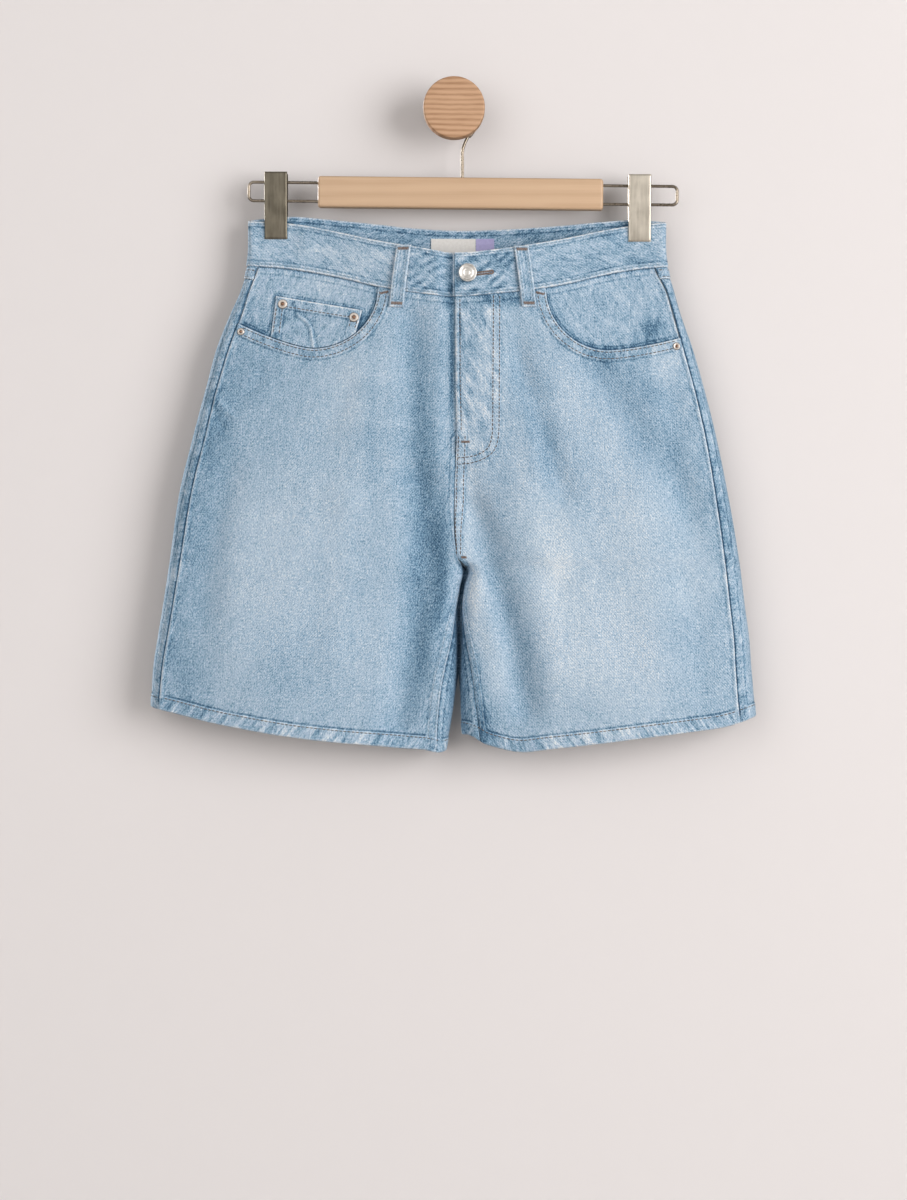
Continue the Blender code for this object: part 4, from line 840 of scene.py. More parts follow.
def sewn(node, piece, us, vs, finish, flat=lambda u, v: (u, v), two_faced=False):
    """The outer face is the form moved out by the piece's lift and relief, and the inner face the form moved in by its
    wall. A two-faced piece shows the cloth's right side inside too, darkened there by painted shade."""
    u, v = np.meshgrid(us, vs)
    a, b = flat(u, v)
    place = piece.at(a, b)
    face, (base, normal) = place[1], stand(*place)
    height = piece.lift(a, b)
    lift, marks = piece.relief(a, b)
    outer = base + normal * (height + lift)[..., None]
    inner = base + normal * (height - piece.wall(a, b) + 0.5 * lift)[..., None]
    faces, rim = wall_faces(*u.shape)
    # Painted shade: the negative ovals and the fold troughs darken the cloth where shade falls; the rest is the wash's
    # paling.
    marks["paled_and_shaded"] = wash_and_painted_shade(face, outer[..., 0], outer[..., 2]) + FOLD_WEAR_AND_PAINTED_SHADE * creases(face, base[..., 0], base[..., 2])
    tones = {key: np.tile(mark.ravel(), 2) for key, mark in marks.items()}
    # Painted shade on the inner face of a two-faced piece.
    if two_faced:
        tones["paled_and_shaded"][u.size:] -= INNER_BAND_PAINTED_SHADE
    else:
        tones["reverse"][u.size:] = 1
    laid = points_of(a.ravel(), b.ravel())
    made = make_object(f"cloth_{node}", [outer, inner], faces, finish, node, np.tile(laid, (2, 1)), tones)


def wash_and_painted_shade(face, x, z):
    """How pale the wash has left each place, with painted shade where the ovals are negative: the sum of the soft
    ovals.
    """
    total = np.zeros(np.broadcast(face, x, z).shape)
    for on_face, rows in WASH_AND_PAINTED_SHADE_OVALS.items():
        for x0, z0, half_x, half_z, strength in zip(*rows.values()):
            bell = np.exp(-(((x - x0) / half_x) ** 2) - ((z - z0) / half_z) ** 2)
            total += np.where(face == on_face, strength * bell, 0)
    return total


def thread(name, rows, finish):
    """Many stitches as one mesh, evenly spaced along each (piece, path) row and sunk a little into the cloth."""
    parts = []
    for piece, path in rows:
        whole = run_of(path)[-1]
        count = int((whole - STITCH_LENGTH) / STITCH_PITCH) + 1
        if count < 1:
            continue
        first = (whole - (count - 1) * STITCH_PITCH - STITCH_LENGTH) / 2 + STITCH_PITCH * np.arange(count)
        start, _ = piece.points(*at_runs(path, first).T, -STITCH_SUNK)
        parts.append((start, *piece.points(*at_runs(path, first + STITCH_LENGTH).T, -STITCH_SUNK)))
    spindles(name, parts, STITCH_WIDTH, STITCH_HEIGHT, finish)


def laid_on(piece, start, end, above):
    """Start points, end points and normals of stitches on a piece, from flat (a, b) places."""
    first, normal = piece.points(*start.T, above)
    return first, piece.points(*end.T, above)[0], normal


def spindles(name, parts, width, height, finish):
    """Small closed spindles as one mesh, width across and height along the normals, from parts of start points, end
    points and normals: rings whose radius is the fourth root of 1 - t**4, flattened on to the cloth."""
    start, end, normal = (np.concatenate(part) for part in zip(*parts))
    t = np.array([-1.0, -0.8, 0.0, 0.8, 1.0])
    radius = np.array([0.02, 0.72, 1.0, 0.72, 0.02])
    angle = np.linspace(0, 2 * math.pi, 6, endpoint=False)
    middle, half = (start + end) / 2, (end - start) / 2
    across = unit(np.cross(half, normal))
    rings = (middle[:, None, None] + half[:, None, None] * t[None, :, None, None]
             + across[:, None, None] * (radius[:, None] * np.cos(angle) * width / 2)[None, :, :, None]
             + normal[:, None, None] * (radius[:, None] * np.sin(angle) * height / 2)[None, :, :, None])
    one = np.concatenate([quads(5, 6, wrap=True), [[0, 3, 2, 1], [0, 5, 4, 3], [24, 25, 26, 27], [24, 27, 28, 29]]])
    faces = (one[None] + 30 * np.arange(len(start))[:, None, None]).reshape(-1, 4)
    make_object(name, rings, faces, finish, sharp=180)


def bartack(piece, a, b, angle, length=7.5, width=2.3):
    """A short dense bar of thread centred at (a, b): cross stitches side by side, as a part for spindles."""
    count = int(length / TACK_PITCH)
    t = (np.arange(count) - (count - 1) / 2) * TACK_PITCH
    run = np.array([math.cos(angle), math.sin(angle)])
    aside = np.array([-run[1], run[0]])
    lean = 0.22 * (-1.0) ** np.arange(count)
    middle = np.array([a, b]) + t[:, None] * run
    start = middle - aside * width / 2 - run * lean[:, None]
    end = middle + aside * width / 2 + run * lean[:, None]
    return laid_on(piece, start, end, 0.12)


def circles(first, second, count):
    """Points of unit circles in the planes of unit vectors."""
    angle = np.linspace(0, 2 * math.pi, count, endpoint=False)[:, None]
    return np.cos(angle) * first[..., None, :] + np.sin(angle) * second[..., None, :]


def tube(name, path, node, sides=16):
    """A round wire: circles carried along a path, each in the plane across it, and drawn in flat to close the ends."""
    step = unit(np.gradient(path, axis=0))
    beside = unit(np.cross(step, (0.0, 1.0, 0.0)))
    over = np.cross(beside, step)
    ring = circles(beside, over, sides)
    rings = [path[:1, None] + ring[:1] * WIRE_RADIUS * share for share in (0.02, 0.5, 0.85)]
    rings += [path[:, None] + ring * WIRE_RADIUS]
    rings += [path[-1:, None] + ring[-1:] * WIRE_RADIUS * share for share in (0.85, 0.5, 0.02)]
    points = np.concatenate(rings)
    make_object(name, points, quads(len(points), sides, wrap=True), "hanger_wire", node, sharp=50)


def turned(name, profile, centre, axis, finish, node, steps):
    """A turned shape: a profile of (radius, height) points carried round an axis through centre. It carries each
    place's share of the largest radius as ring."""
    profile = np.maximum(np.asarray(profile, float), (0.004, -1e9))
    axis = unit(np.asarray(axis, float))
    helper = (0.0, 0.0, 1.0) if abs(axis[2]) < 0.9 else (1.0, 0.0, 0.0)
    first = unit(np.cross(helper, axis))
    ring = circles(first, np.cross(axis, first), steps)
    points = np.asarray(centre) + profile[:, 0, None, None] * ring + (profile[:, 1, None] * axis)[:, None]
    share = np.repeat(profile[:, 0] / profile[:, 0].max(), steps)
    make_object(name, points, quads(len(profile), steps, wrap=True), finish, node, tones={"ring": share}, sharp=40)


# ---- Materials ----


def to_linear(code):
    """An sRGB hex colour as linear red, green and blue."""
    channels = [int(code[k:k + 2], 16) / 255 for k in (1, 3, 5)]
    return tuple(c / 12.92 if c <= 0.04045 else ((c + 0.055) / 1.055) ** 2.4 for c in channels)


def add_node(tree, kind, inputs=(), output=0, stops=(), **settings):
    """Adds a node and returns one of its outputs, by name or number. The kind may end in an operation, settings are
    the node's properties, inputs are values or other outputs, in order or by name, and stops are a colour ramp's
    (place, hex colour) pairs."""
    kind, *operation = kind.split()
    node = tree.nodes.new("ShaderNode" + kind)
    for key, value in [*settings.items(), *(("operation", value) for value in operation)]:
        setattr(node, key, value)
    for _ in stops[2:]:
        node.color_ramp.elements.new(0.5)
    for element, (place, code) in zip(node.color_ramp.elements if stops else (), stops):
        element.position = place
        element.color = (*to_linear(code), 1)
    for key, value in inputs.items() if isinstance(inputs, dict) else enumerate(inputs):
        if isinstance(value, bpy.types.NodeSocket):
            tree.links.new(value, node.inputs[key])
        else:
            node.inputs[key].default_value = value
    return node.outputs[output]


def new_material(name, roughness, metallic=0.0, **sockets):
    """A Principled material with its constant values on the shader's own sockets, and what adds nodes to it."""
    made = bpy.data.materials.new(name)
    made.use_nodes = True
    shader = made.node_tree.nodes["Principled BSDF"]
    for key, value in {"Roughness": roughness, "Metallic": metallic, **sockets}.items():
        shader.inputs[key.replace("_", " ")].default_value = value
    return made, partial(add_node, made.node_tree), shader


def feed(node, **outputs):
    """Links outputs to a node's sockets of these names."""
    for key, output in outputs.items():
        node.id_data.links.new(output, node.inputs[key.replace("_", " ")])


def weighed_sum(add, start, terms):
    """start plus each (output, weight) pair, as a chain of multiply-adds."""
    for output, weight in terms:
        start = add("Math MULTIPLY_ADD", (output, weight, start))
    return start


def denim_material(look, name="washed_denim_twill", shade=0.0, turn=0.0):
    """Light stone-washed cotton twill: blue warp over white weft, so it shows a fine speckle of blue and white picks,
    faint diagonal ribs and warp streaks. The wash has marbled it, most along the seams, rubbed each edge to a pale
    line, left the blue in the groove beside each seam's band, which is darkened there further as painted shade, and
    roped the band with short bars. The marks it reads also carry painted shade in folds and shadowed places."""
    made, add, shader = new_material(name, 0.9, Sheen_Weight=0.08, Sheen_Roughness=0.5, Specular_IOR_Level=0.12)
    cloth = add("Mapping", {"Vector": add("UVMap", uv_map="cloth"), "Rotation": (0, 0, turn)})
    mark = {key: add("Attribute", output="Fac", attribute_name=key) for key in MARKS}

    def noise(across, along, detail=2.0, rough=0.5, place=cloth, size=MM, twist=0.0):
        """A cloud of noise whose features are about across by along, in mm for the cloth's own measures."""
        scaled = add("Mapping", {"Vector": place, "Scale": (1 / (across * size), 1 / (along * size), 1)})
        return add("TexNoise", {"Vector": scaled, "Scale": 1.0, "Detail": detail, "Roughness": rough,
                                "Distortion": twist}, noise_dimensions="2D")

    def bell(value, centre, width):
        """exp(-((value - centre) / width) ** 2)"""
        off = add("Math DIVIDE", (add("Math SUBTRACT", (value, centre)), width))
        return add("Math EXPONENT", (add("Math MULTIPLY", (add("Math MULTIPLY", (off, off)), -1.0)),))

    def swing(value, strength):
        """A noise's swing about its middle, times a strength."""
        return add("Math MULTIPLY", (add("Math SUBTRACT", (value, 0.5)), strength))

    rib = add("TexWave", {"Vector": cloth, "Scale": WAVE_BANDS / look.twill_pitch, "Distortion": 2.0, "Detail": 1.0,
                          "Detail Scale": 3.0}, "Fac", wave_type="BANDS", bands_direction="DIAGONAL")
    speckle, streak, slub = noise(1.2, 1.9, 3.0, 0.85), noise(1.1, 12.0), noise(7.0, 1.2)
    terms = [
        (speckle, look.speckle), (streak, 0.26), (noise(4.0, 55.0), 0.10), (slub, 0.24),
        (noise(5.0, 7.0, 2.0, 0.6), 0.13), (noise(18.0, 24.0, 3.0, 0.6), 0.14), (noise(70.0, 85.0), 0.14),
        (rib, 0.10),
    ]
    past_band = add("Math SUBTRACT", (mark["away"], mark["band"]))
    in_band = add("MapRange", {"Value": past_band, "From Min": -0.6, "From Max": 0.6, "To Min": 1.0, "To Max": 0.0})
    slant = add("Math MULTIPLY_ADD", (mark["away"], 0.4, mark["run"]))
    along_seam = add("CombineXYZ", (slant, mark["away"]))
    fine_bar = add("Math MULTIPLY", (noise(3.0, 15.0, 2.0, 0.6, along_seam, 1.0), 0.7))
    bar = add("Math MULTIPLY_ADD", (noise(7.5, 30.0, 1.0, 0.5, along_seam, 1.0), 0.7, fine_bar))
    bars = swing(add("Math SUBTRACT", (bar, 0.25)), add("Math MULTIPLY", (mark["rub"], in_band)))
    edge = add("Math MULTIPLY", (bell(mark["away"], 0.5, 0.75), mark["lip"]))
    step = add("Math MULTIPLY", (bell(past_band, -0.6, 0.8), mark["rub"]))
    groove = add("Math MULTIPLY", (bell(past_band, 0.9, 0.9), mark["rub"]))
    slanted = add("Mapping", {"Vector": cloth, "Rotation": (0, 0, math.radians(-28))})
    wisps = add("Math MULTIPLY", (noise(3.4, 17.0, 3.0, 0.6, slanted, twist=0.7), 0.9))
    clouds = add("Math MULTIPLY_ADD", (noise(9.0, 20.0, 3.0, 0.6, twist=0.9), 0.7, add("Math SUBTRACT", (wisps, 0.3))))
    marbling = swing(clouds, mark["marble"])
    centred = 0.5 + shade - 0.5 * sum(weight for _, weight in terms)
    # Painted shade comes in by the paling and wear marks and by the groove beside each seam's band.
    level = weighed_sum(add, centred, [
        (mark["paled_and_shaded"], 0.9), (mark["wear"], 0.42), (edge, 0.42), (step, 0.14), (groove, -0.32), (bars, look.roping),
        (marbling, look.marbling), *terms])
    blue = add("ValToRGB", {"Fac": level}, stops=[(0.0, "#385a77"), (0.25, "#7097b3"), (0.5, "#a3bed4"),
                                                  (0.72, "#c0d3e4"), (0.88, "#d8e5ef"), (1.0, "#f0f5f8")])
    back = add("ValToRGB", {"Fac": speckle}, stops=[(0.3, "#8299ab"), (0.7, "#b9c8d2")])
    colour = add("Mix", {"Factor": mark["reverse"], 6: blue, 7: back}, 2, data_type="RGBA")
    height = weighed_sum(add, 0.0, [(rib, 0.5), (speckle, 1.2), (streak, 0.5), (slub, 0.5), (bars, 1.6), (step, 0.5),
                                    (groove, -0.7), (marbling, 0.8)])
    feed(shader, Base_Color=colour, Normal=add("Bump", {"Strength": 0.7, "Distance": 0.0006, "Height": height}))
    return made


def thread_material(name, code, dark):
    """Spun cotton-wrapped thread: dull, with a slight twist that shows as light and dark along each stitch."""
    made, add, shader = new_material(name, 0.8, Specular_IOR_Level=0.2)
    twist = add("TexNoise", {"Vector": add("TexCoord", output="Object"), "Scale": 1 / (1.4 * MM), "Detail": 2.0})
    feed(shader, Base_Color=add("ValToRGB", {"Fac": twist}, stops=[(0.3, dark), (0.7, code)]))
    return made


def ribbon_material(name, code, dark):
    """Woven satin ribbon: fine cross ribs and a soft sheen."""
    made, add, shader = new_material(name, 0.55, Sheen_Weight=0.2)
    cloth = add("UVMap", uv_map="cloth")
    rib = add("TexWave", {"Vector": cloth, "Scale": WAVE_BANDS / (0.8 * MM), "Distortion": 0.4}, "Fac",
              wave_type="BANDS", bands_direction="Y")
    cloud = add("TexNoise", {"Vector": cloth, "Scale": 1 / (2.5 * MM), "Detail": 2.0})
    level = weighed_sum(add, 0.0, [(rib, 0.35), (cloud, 0.65)])
    feed(shader, Base_Color=add("ValToRGB", {"Fac": level}, stops=[(0.2, dark), (0.7, code)]),
         Normal=add("Bump", {"Strength": 0.3, "Distance": 0.0002, "Height": rib}))
    return made


def metal_material(name, code, dark, roughness, brush=(1.0, 1.0, 1.0)):
    """Plated pressed metal: satin, with faint rolling lines and handling marks that change its gloss."""
    made, add, shader = new_material(name, roughness, 1.0)
    place = add("TexCoord", output="Object")
    stretched = add("Mapping", {"Vector": place, "Scale": brush})
    lines = add("TexNoise", {"Vector": stretched, "Scale": 1 / (2.0 * MM), "Detail": 3.0})
    marks = add("TexNoise", {"Vector": place, "Scale": 1 / (14.0 * MM), "Detail": 4.0})
    level = weighed_sum(add, 0.0, [(lines, 0.5), (marks, 0.5)])
    gloss = add("MapRange", {"Value": level, "From Min": 0.3, "From Max": 0.7, "To Min": roughness - 0.07,
                             "To Max": roughness + 0.1})
    feed(shader, Base_Color=add("ValToRGB", {"Fac": level}, stops=[(0.35, dark), (0.65, code)]), Roughness=gloss,
         Normal=add("Bump", {"Strength": 0.08, "Distance": 0.0003, "Height": lines}))
    return made


def rivet_material(name):
    """Copper-plated burr rivet after the wash: a rim rubbed to pale pinkish metal, dirt in the dish, and copper left
    on the nub in the middle."""
    made, add, shader = new_material(name, 0.42, 1.0)
    marks = add("TexNoise", {"Vector": add("TexCoord", output="Object"), "Scale": 1 / (1.6 * MM), "Detail": 3.0})
    worn = weighed_sum(add, -0.06, [(add("Attribute", output="Fac", attribute_name="ring"), 1.0), (marks, 0.12)])
    colour = add("ValToRGB", {"Fac": worn}, stops=[
        (0.0, "#b39078"), (0.2, "#96715d"), (0.3, "#57453c"), (0.44, "#c0b2a6"), (0.7, "#ebe4dc"), (0.9, "#cbbfb5"),
        (1.0, "#85766b")])
    gloss = add("MapRange", {"Value": marks, "From Min": 0.3, "From Max": 0.7, "To Min": 0.34, "To Max": 0.52})
    feed(shader, Base_Color=colour, Roughness=gloss)
    return made


def wood_material(name, pale, mid, dark, grain_mm, ring_mm, centre, stretch, roughness):
    """Planed and sealed wood: wide growth rings cut through as soft bands, fine pores drawn out along the grain, and
    a low satin gloss."""
    made, add, shader = new_material(name, roughness, Specular_IOR_Level=0.4)
    placed = add("Mapping", {"Vector": add("TexCoord", output="Object"), "Location": centre, "Scale": stretch})
    rings = add("TexWave", {"Vector": placed, "Scale": WAVE_BANDS / (ring_mm * MM), "Distortion": 3.0, "Detail": 2.0,
                            "Detail Scale": 0.6, "Detail Roughness": 0.5}, "Fac",
                wave_type="BANDS", bands_direction="Z")
    fine = add("Mapping", {"Vector": placed, "Scale": tuple(1 / (g * MM) for g in grain_mm)})
    pores = add("TexNoise", {"Vector": fine, "Scale": 1.0, "Detail": 4.0, "Roughness": 0.65})
    cloud = add("TexNoise", {"Vector": placed, "Scale": 1 / (22 * MM), "Detail": 2.0})
    level = weighed_sum(add, 0.0, [(rings, 0.28), (pores, 0.47), (cloud, 0.25)])
    feed(shader, Base_Color=add("ValToRGB", {"Fac": level}, stops=[(0.3, dark), (0.48, mid), (0.66, pale)]),
         Normal=add("Bump", {"Strength": 0.25, "Distance": 0.0002, "Height": pores}))
    return made


@cache
def finishes():
    """Every material of the object, made once: those of CAD pieces by the names of their slots."""
    look = bpy.context.scene.denim_look
    return {
        "denim": denim_material(look),
        "band_denim": denim_material(look, "waistband_denim_twill", 0.0, math.pi / 2),
        "facing_denim": denim_material(look, "pocket_facing_denim_twill", 0.02),
        "thread": thread_material("grey_brown_topstitch_thread", "#77716f", "#565254"),
        "blue_thread": thread_material("blue_grey_edge_thread", "#92a8b9", "#7890a4"),
        "tack": thread_material("rust_bartack_thread", "#9b8a80", "#70605a"),
        "label_pale": ribbon_material("off_white_satin_ribbon", "#eceae6", "#d8d5cf"),
        "label_lilac": ribbon_material("lilac_satin_ribbon", "#b9b3dc", "#9d97c6"),
        "button_metal": metal_material("satin_nickel_button", "#f0ede8", "#cfccc6", 0.42),
        "rivet_metal": rivet_material("worn_copper_rivet"),
        # One nickel steel in two painted copies: painted light for the left clips near the key lamp, painted shade for
        # the right ones.
        "dark_nickel": metal_material("painted_shade_nickel_pressed_steel", "#8b8475", "#6d675a", 0.4, (1, 1, 0.08)),
        "pale_nickel": metal_material("painted_light_nickel_pressed_steel", "#e4dccd", "#cbc3b4", 0.4, (1, 1, 0.08)),
        "hanger_wire": metal_material("nickel_plated_wire", "#b4a898", "#8a7f70", 0.28),
        "beech": wood_material("lacquered_beech", "#d6b796", "#d1b191", "#cbaa89", (24, 2.0, 0.8), 11.0, (0, 0, 0),
                               (0.35, 1, 1), 0.42),
        "oiled_wood": wood_material("oiled_beech_disc", "#cfa786", "#c49c7a", "#a87f5d", (7, 6, 0.7), 4.6,
                                    (0, 0, 0.03), (0.5, 1, 1), 0.5),
    }


# ---- Operators: the cloth pieces ----


def hem_wall(side):
    """A panel's thickness: doubled below the hem's fold."""

    def wall(a, b):
        above = b - along(HEM, "z", outline("inner", side, b) + side * np.abs(a))
        return DENIM + (HEM_DENIM - DENIM) * (1 - smooth(HEM_HEIGHT - 1, HEM_HEIGHT + 1, above))

    return wall


def edge_seams(side, edges):
    """Seams of these kinds along (q, z) borders. At the centre back only the left half carries the thread."""
    return [Seam(kind, flat_border(side, border), side == LEFT or not kind.endswith("centre"))
            for kind, border in edges.items()]


def front_panel(side):
    """A front panel's Piece and its flat measures: the patch between the waist seam with the pocket mouth, the hem,
    the centre line with the inseam, and the outseam. Left's centre edge is the fly's folded edge."""
    mouth = MOUTHS[side]
    start_x = outline("inner", side, BAND_MID_Z) + side * (SEAM_GAP / 2 - (side == RIGHT) * FLY_UNDERLAP)
    seam_x = np.linspace(start_x, mouth["corner_x"], 60)
    seam = points_of(seam_x, waist_z("seam", FRONT, seam_x) - SEAM_GAP)
    run = np.concatenate([to_q(side, seam), to_q(side, mouth_path(side))])
    top = evenly(run * (WIDTH_OF_Q, 1), 321) / (WIDTH_OF_Q, 1)
    hem_end_x = outline("outer", side, HEM_SIDE_Z) - side * outline("strip", side, HEM_SIDE_Z)
    end_z = np.linspace(mouth["end_z"], along(HEM, "z", hem_end_x), 81)
    end = points_of(outseam_q(side, end_z) - seam_gap_q(side, end_z), end_z)
    top[-1] = end[0]
    hem_start = inseam_q(side, HEM_INNER_Z) + seam_gap_q(side, HEM_INNER_Z)
    bottom = hem_border(side, FRONT, hem_start, end[-1, 0])
    end[-1] = bottom[-1]
    start_z = np.linspace(top[0, 1], bottom[0, 1], 481)
    lap = FLY_UNDERLAP * smooth(FLY_BOTTOM_Z - 4, FLY_BOTTOM_Z + 4, start_z) if side == RIGHT else 0 * start_z
    centre = outline("inner", side, start_z) - side * lap + side * SEAM_GAP / 2
    inseam = inseam_q(side, start_z) + seam_gap_q(side, start_z)
    start = points_of(np.where(start_z > CROTCH_Z, q_at(side, centre, start_z), inseam), start_z)
    top[0], start[-1] = start[0], bottom[0]

    seams = [Seam("front_waist", flat_path(side, seam)), Seam("mouth", flat_path(side, mouth_path(side, 41)))]
    seams += edge_seams(side, {"front_outseam": end, "hem": bottom,
                               f"inseam_{SIDE_NAMES[side]}": start[start_z < CROTCH_Z - 6]})
    centre_line = start[start_z > CROTCH_Z + 2]
    height = centre_line[:, 1]
    if side == LEFT:
        below = centre_line[(height < FLY_BOTTOM_Z + 4) & (height > CROTCH_Z + 8)]
        seams += edge_seams(side, {"fly_edge": centre_line[height > FLY_BOTTOM_Z], "crotch_left": below})
        between_rows = offset_path(flat_path(LEFT, rounded(FLY_CURVE)), FLY_SECOND_ROW / 2, INSIDE_FLY)
        seams.append(Seam("fly_stitching", between_rows[::2]))
    else:
        seams += edge_seams(side, {"crotch_right": centre_line[height < FLY_BOTTOM_Z]})
    piece = Piece(leg_place(side, FRONT), 0.0, hem_wall(side), seams, fly_relief if side == LEFT else None)
    return piece, patch(side, top, bottom, start, end)


def fly_relief(a, b):
    """The doubled cloth inside the J-shaped fly stitching: raised, marbled all over and rubbed in streaks that run
    down and inwards."""
    curve = flat_path(LEFT, rounded(FLY_CURVE, 6))
    away, _ = nearest(curve, a, b)
    reach = np.interp(-b, -curve[:, 1], curve[:, 0])
    signed = np.where((a < reach) & (b > curve[-1, 1]), away, -away)
    inside = smooth(-1.0, 1.0, signed)
    streaks = np.sin((b + 1.6 * a) / 4.3 + 1.7 * np.sin(b / 13)) * np.sin(a / 5.5 - b / 30)
    return FLY_FACING_RISE * inside + 0.12 * inside * streaks, 0.32 * inside * streaks, inside


class Making:
    """Shared by the operators below: each makes its pieces in execute."""

    bl_options = {"REGISTER", "UNDO"}


class FrontPanels(Making, bpy.types.Operator):
    """Cut and sew the two front panels, with the pocket mouths, the fly, the hems and their stitching"""

    bl_idname = "denim_shorts.front_panels"
    bl_label = "Front Panels"

    def execute(self, context):
        tacks = []
        for side, name in SIDE_NAMES.items():
            node = f"front_panel_{name}"
            piece, flat = front_panel(side)
            us, vs = graded(0.045, 12, 112, 12, 0.045), graded(0.04, 16, 168, 18, 0.042)
            sewn(node, piece, us, vs, "denim", flat)
            rows = seam_rows(piece, MID_LEG)
            if side == LEFT:
                outer = flat_path(LEFT, rounded(FLY_CURVE))
                rows += [(piece, outer), (piece, offset_path(outer, FLY_SECOND_ROW, INSIDE_FLY))]
                tacks += [bartack(piece, *flat_spot(LEFT, x, z), 0.0, length) for x, z, length in FLY_TACKS]
            corner_x = MOUTHS[side]["corner_x"] - side * 5.5
            corner = flat_spot(side, corner_x, waist_z("seam", FRONT, corner_x) - 4.5)
            tacks.append(bartack(piece, *corner, math.radians(-14)))
            thread(f"topstitch_{node}", rows, "thread")
            thread(f"inseam_stitch_{node}", seam_rows(piece, MID_LEG, True), "blue_thread")
        spindles("bartacks_front", tacks, TACK_WIDTH, 0.7, "tack")
        return {"FINISHED"}


class PocketFacings(Making, bpy.types.Operator):
    """Lay the denim facings behind the pocket mouths, and sew the coin pocket on the right one"""

    bl_idname = "denim_shorts.pocket_facings"
    bl_label = "Pocket Facings and Coin Pocket"

    def execute(self, context):
        for side, name in SIDE_NAMES.items():
            self.facing(side, name)
        self.coin_pocket()
        return {"FINISHED"}

    def facing(self, side, name):
        """The patch between the waist seam, the outseam, an upright inner edge and a foot that sags by a sine."""
        mouth = MOUTHS[side]
        inner_x = mouth["corner_x"] - side * FACING_INSET
        seam_end_x = surface(side, FRONT, outseam_q(side, WAIST_SIDE_Z), WAIST_SIDE_Z)[0]
        seam_x = np.linspace(inner_x, seam_end_x, 60)
        top = to_q(side, points_of(seam_x, waist_z("seam", FRONT, seam_x) - SEAM_GAP))
        low_z = mouth["end_z"] - FACING_REACH
        end_z = np.linspace(top[-1, 1], low_z, 41)
        end = points_of(outseam_q(side, end_z) - 2.5 * seam_gap_q(side, end_z), end_z)
        top[-1] = end[0]
        start = to_q(side, evenly([(inner_x, top[0, 1]), (inner_x, FACING_INNER_Z)]))
        share = shares(61)
        low_x = inner_x + (surface(side, FRONT, end[-1, 0], low_z)[0] - inner_x) * share
        sag = (mouth["low_z"] - FACING_REACH - FACING_INNER_Z) * np.sin(math.pi * share)
        bottom = to_q(side, points_of(low_x, FACING_INNER_Z + (low_z - FACING_INNER_Z) * share + sag))
        bottom[0], bottom[-1] = start[-1], end[-1]

        under = mouth_path(side, 41)
        seams = edge_seams(side, {"facing_top": top, "facing_outseam": end})
        seams.append(Seam("painted_shadow_under_mouth", flat_path(side, under + (0, 0.8))))
        if side == RIGHT:
            around = [(COIN_LOW_X["inner"], -212.0), COIN_TOP["inner"], COIN_TOP["outer"],
                      (COIN_LOW_X["outer"], -206.0)]
            seams.append(Seam("painted_shadow_round_coin", flat_path(side, evenly(np.array(around) + (0, 0.6), 60))))
        # Painted shadow on the facing: under the mouth's edge and in its far corner.
        line, deep, reach = flat_path(side, under), flat_spot(side, *mouth["deep"]), mouth["deep_reach"]

        def extra(a, b):
            """Painted shadow under the mouth's edge, darkest in the far corner of the opening."""
            corner = np.exp(-((a - deep[0]) ** 2 + (b - deep[1]) ** 2) / reach**2)
            return 0 * a, -0.35 * np.exp(-((nearest(line, a, b)[0] / 5) ** 2)) - 0.9 * corner, 0.7

        piece = Piece(leg_place(side, FRONT), -FACING_DEPTH, PATCH_DENIM, seams, extra)
        sewn(f"pocket_facing_{name}", piece, shares(84), shares(60), "facing_denim",
             patch(side, top, bottom, start, end))

    def coin_pocket(self):
        """The patch between the coin pocket's top edge, its two sides and the line of the pocket mouth."""
        mouth = mouth_path(RIGHT) + (0, COIN_MOUTH_GAP)
        mouth = mouth[(mouth[:, 0] < COIN_LOW_X["inner"]) & (mouth[:, 0] > COIN_LOW_X["outer"])]
        inner, outer = COIN_TOP["inner"], COIN_TOP["outer"]
        top, bottom, start, end = (to_q(RIGHT, evenly(line)) for line in (
            [inner, outer], mouth, [inner, mouth[0]], [outer, mouth[-1]]))
        wrinkle = flat_path(RIGHT, rounded([(-140.5, -184.5), (-130.5, -193), (-127.5, -203), (-125.5, -216)]))

        def extra(a, b):
            """One pinched wrinkle down the middle: a pale ridge with a dark foot beside it."""
            away, _ = nearest(wrinkle, a, b)
            ridge, foot = np.exp(-((away / 1.3) ** 2)), np.exp(-(((away - 2.4) / 1.4) ** 2))
            return 0.9 * ridge - 0.4 * foot, 0.5 * ridge - 0.6 * foot, 0.8

        seams = edge_seams(RIGHT, {"coin_top": top, "coin_outer": end, "coin_inner": start})
        piece = Piece(leg_place(RIGHT, FRONT), -FACING_DEPTH + PATCH_LIFT + COIN_DENIM, COIN_DENIM, seams, extra)
        sewn("coin_pocket", piece, shares(64), shares(40), "facing_denim",
             patch(RIGHT, top, bottom, start, end))
        thread("topstitch_coin_pocket", seam_rows(piece, flat_spot(RIGHT, -124, -195)), "thread")


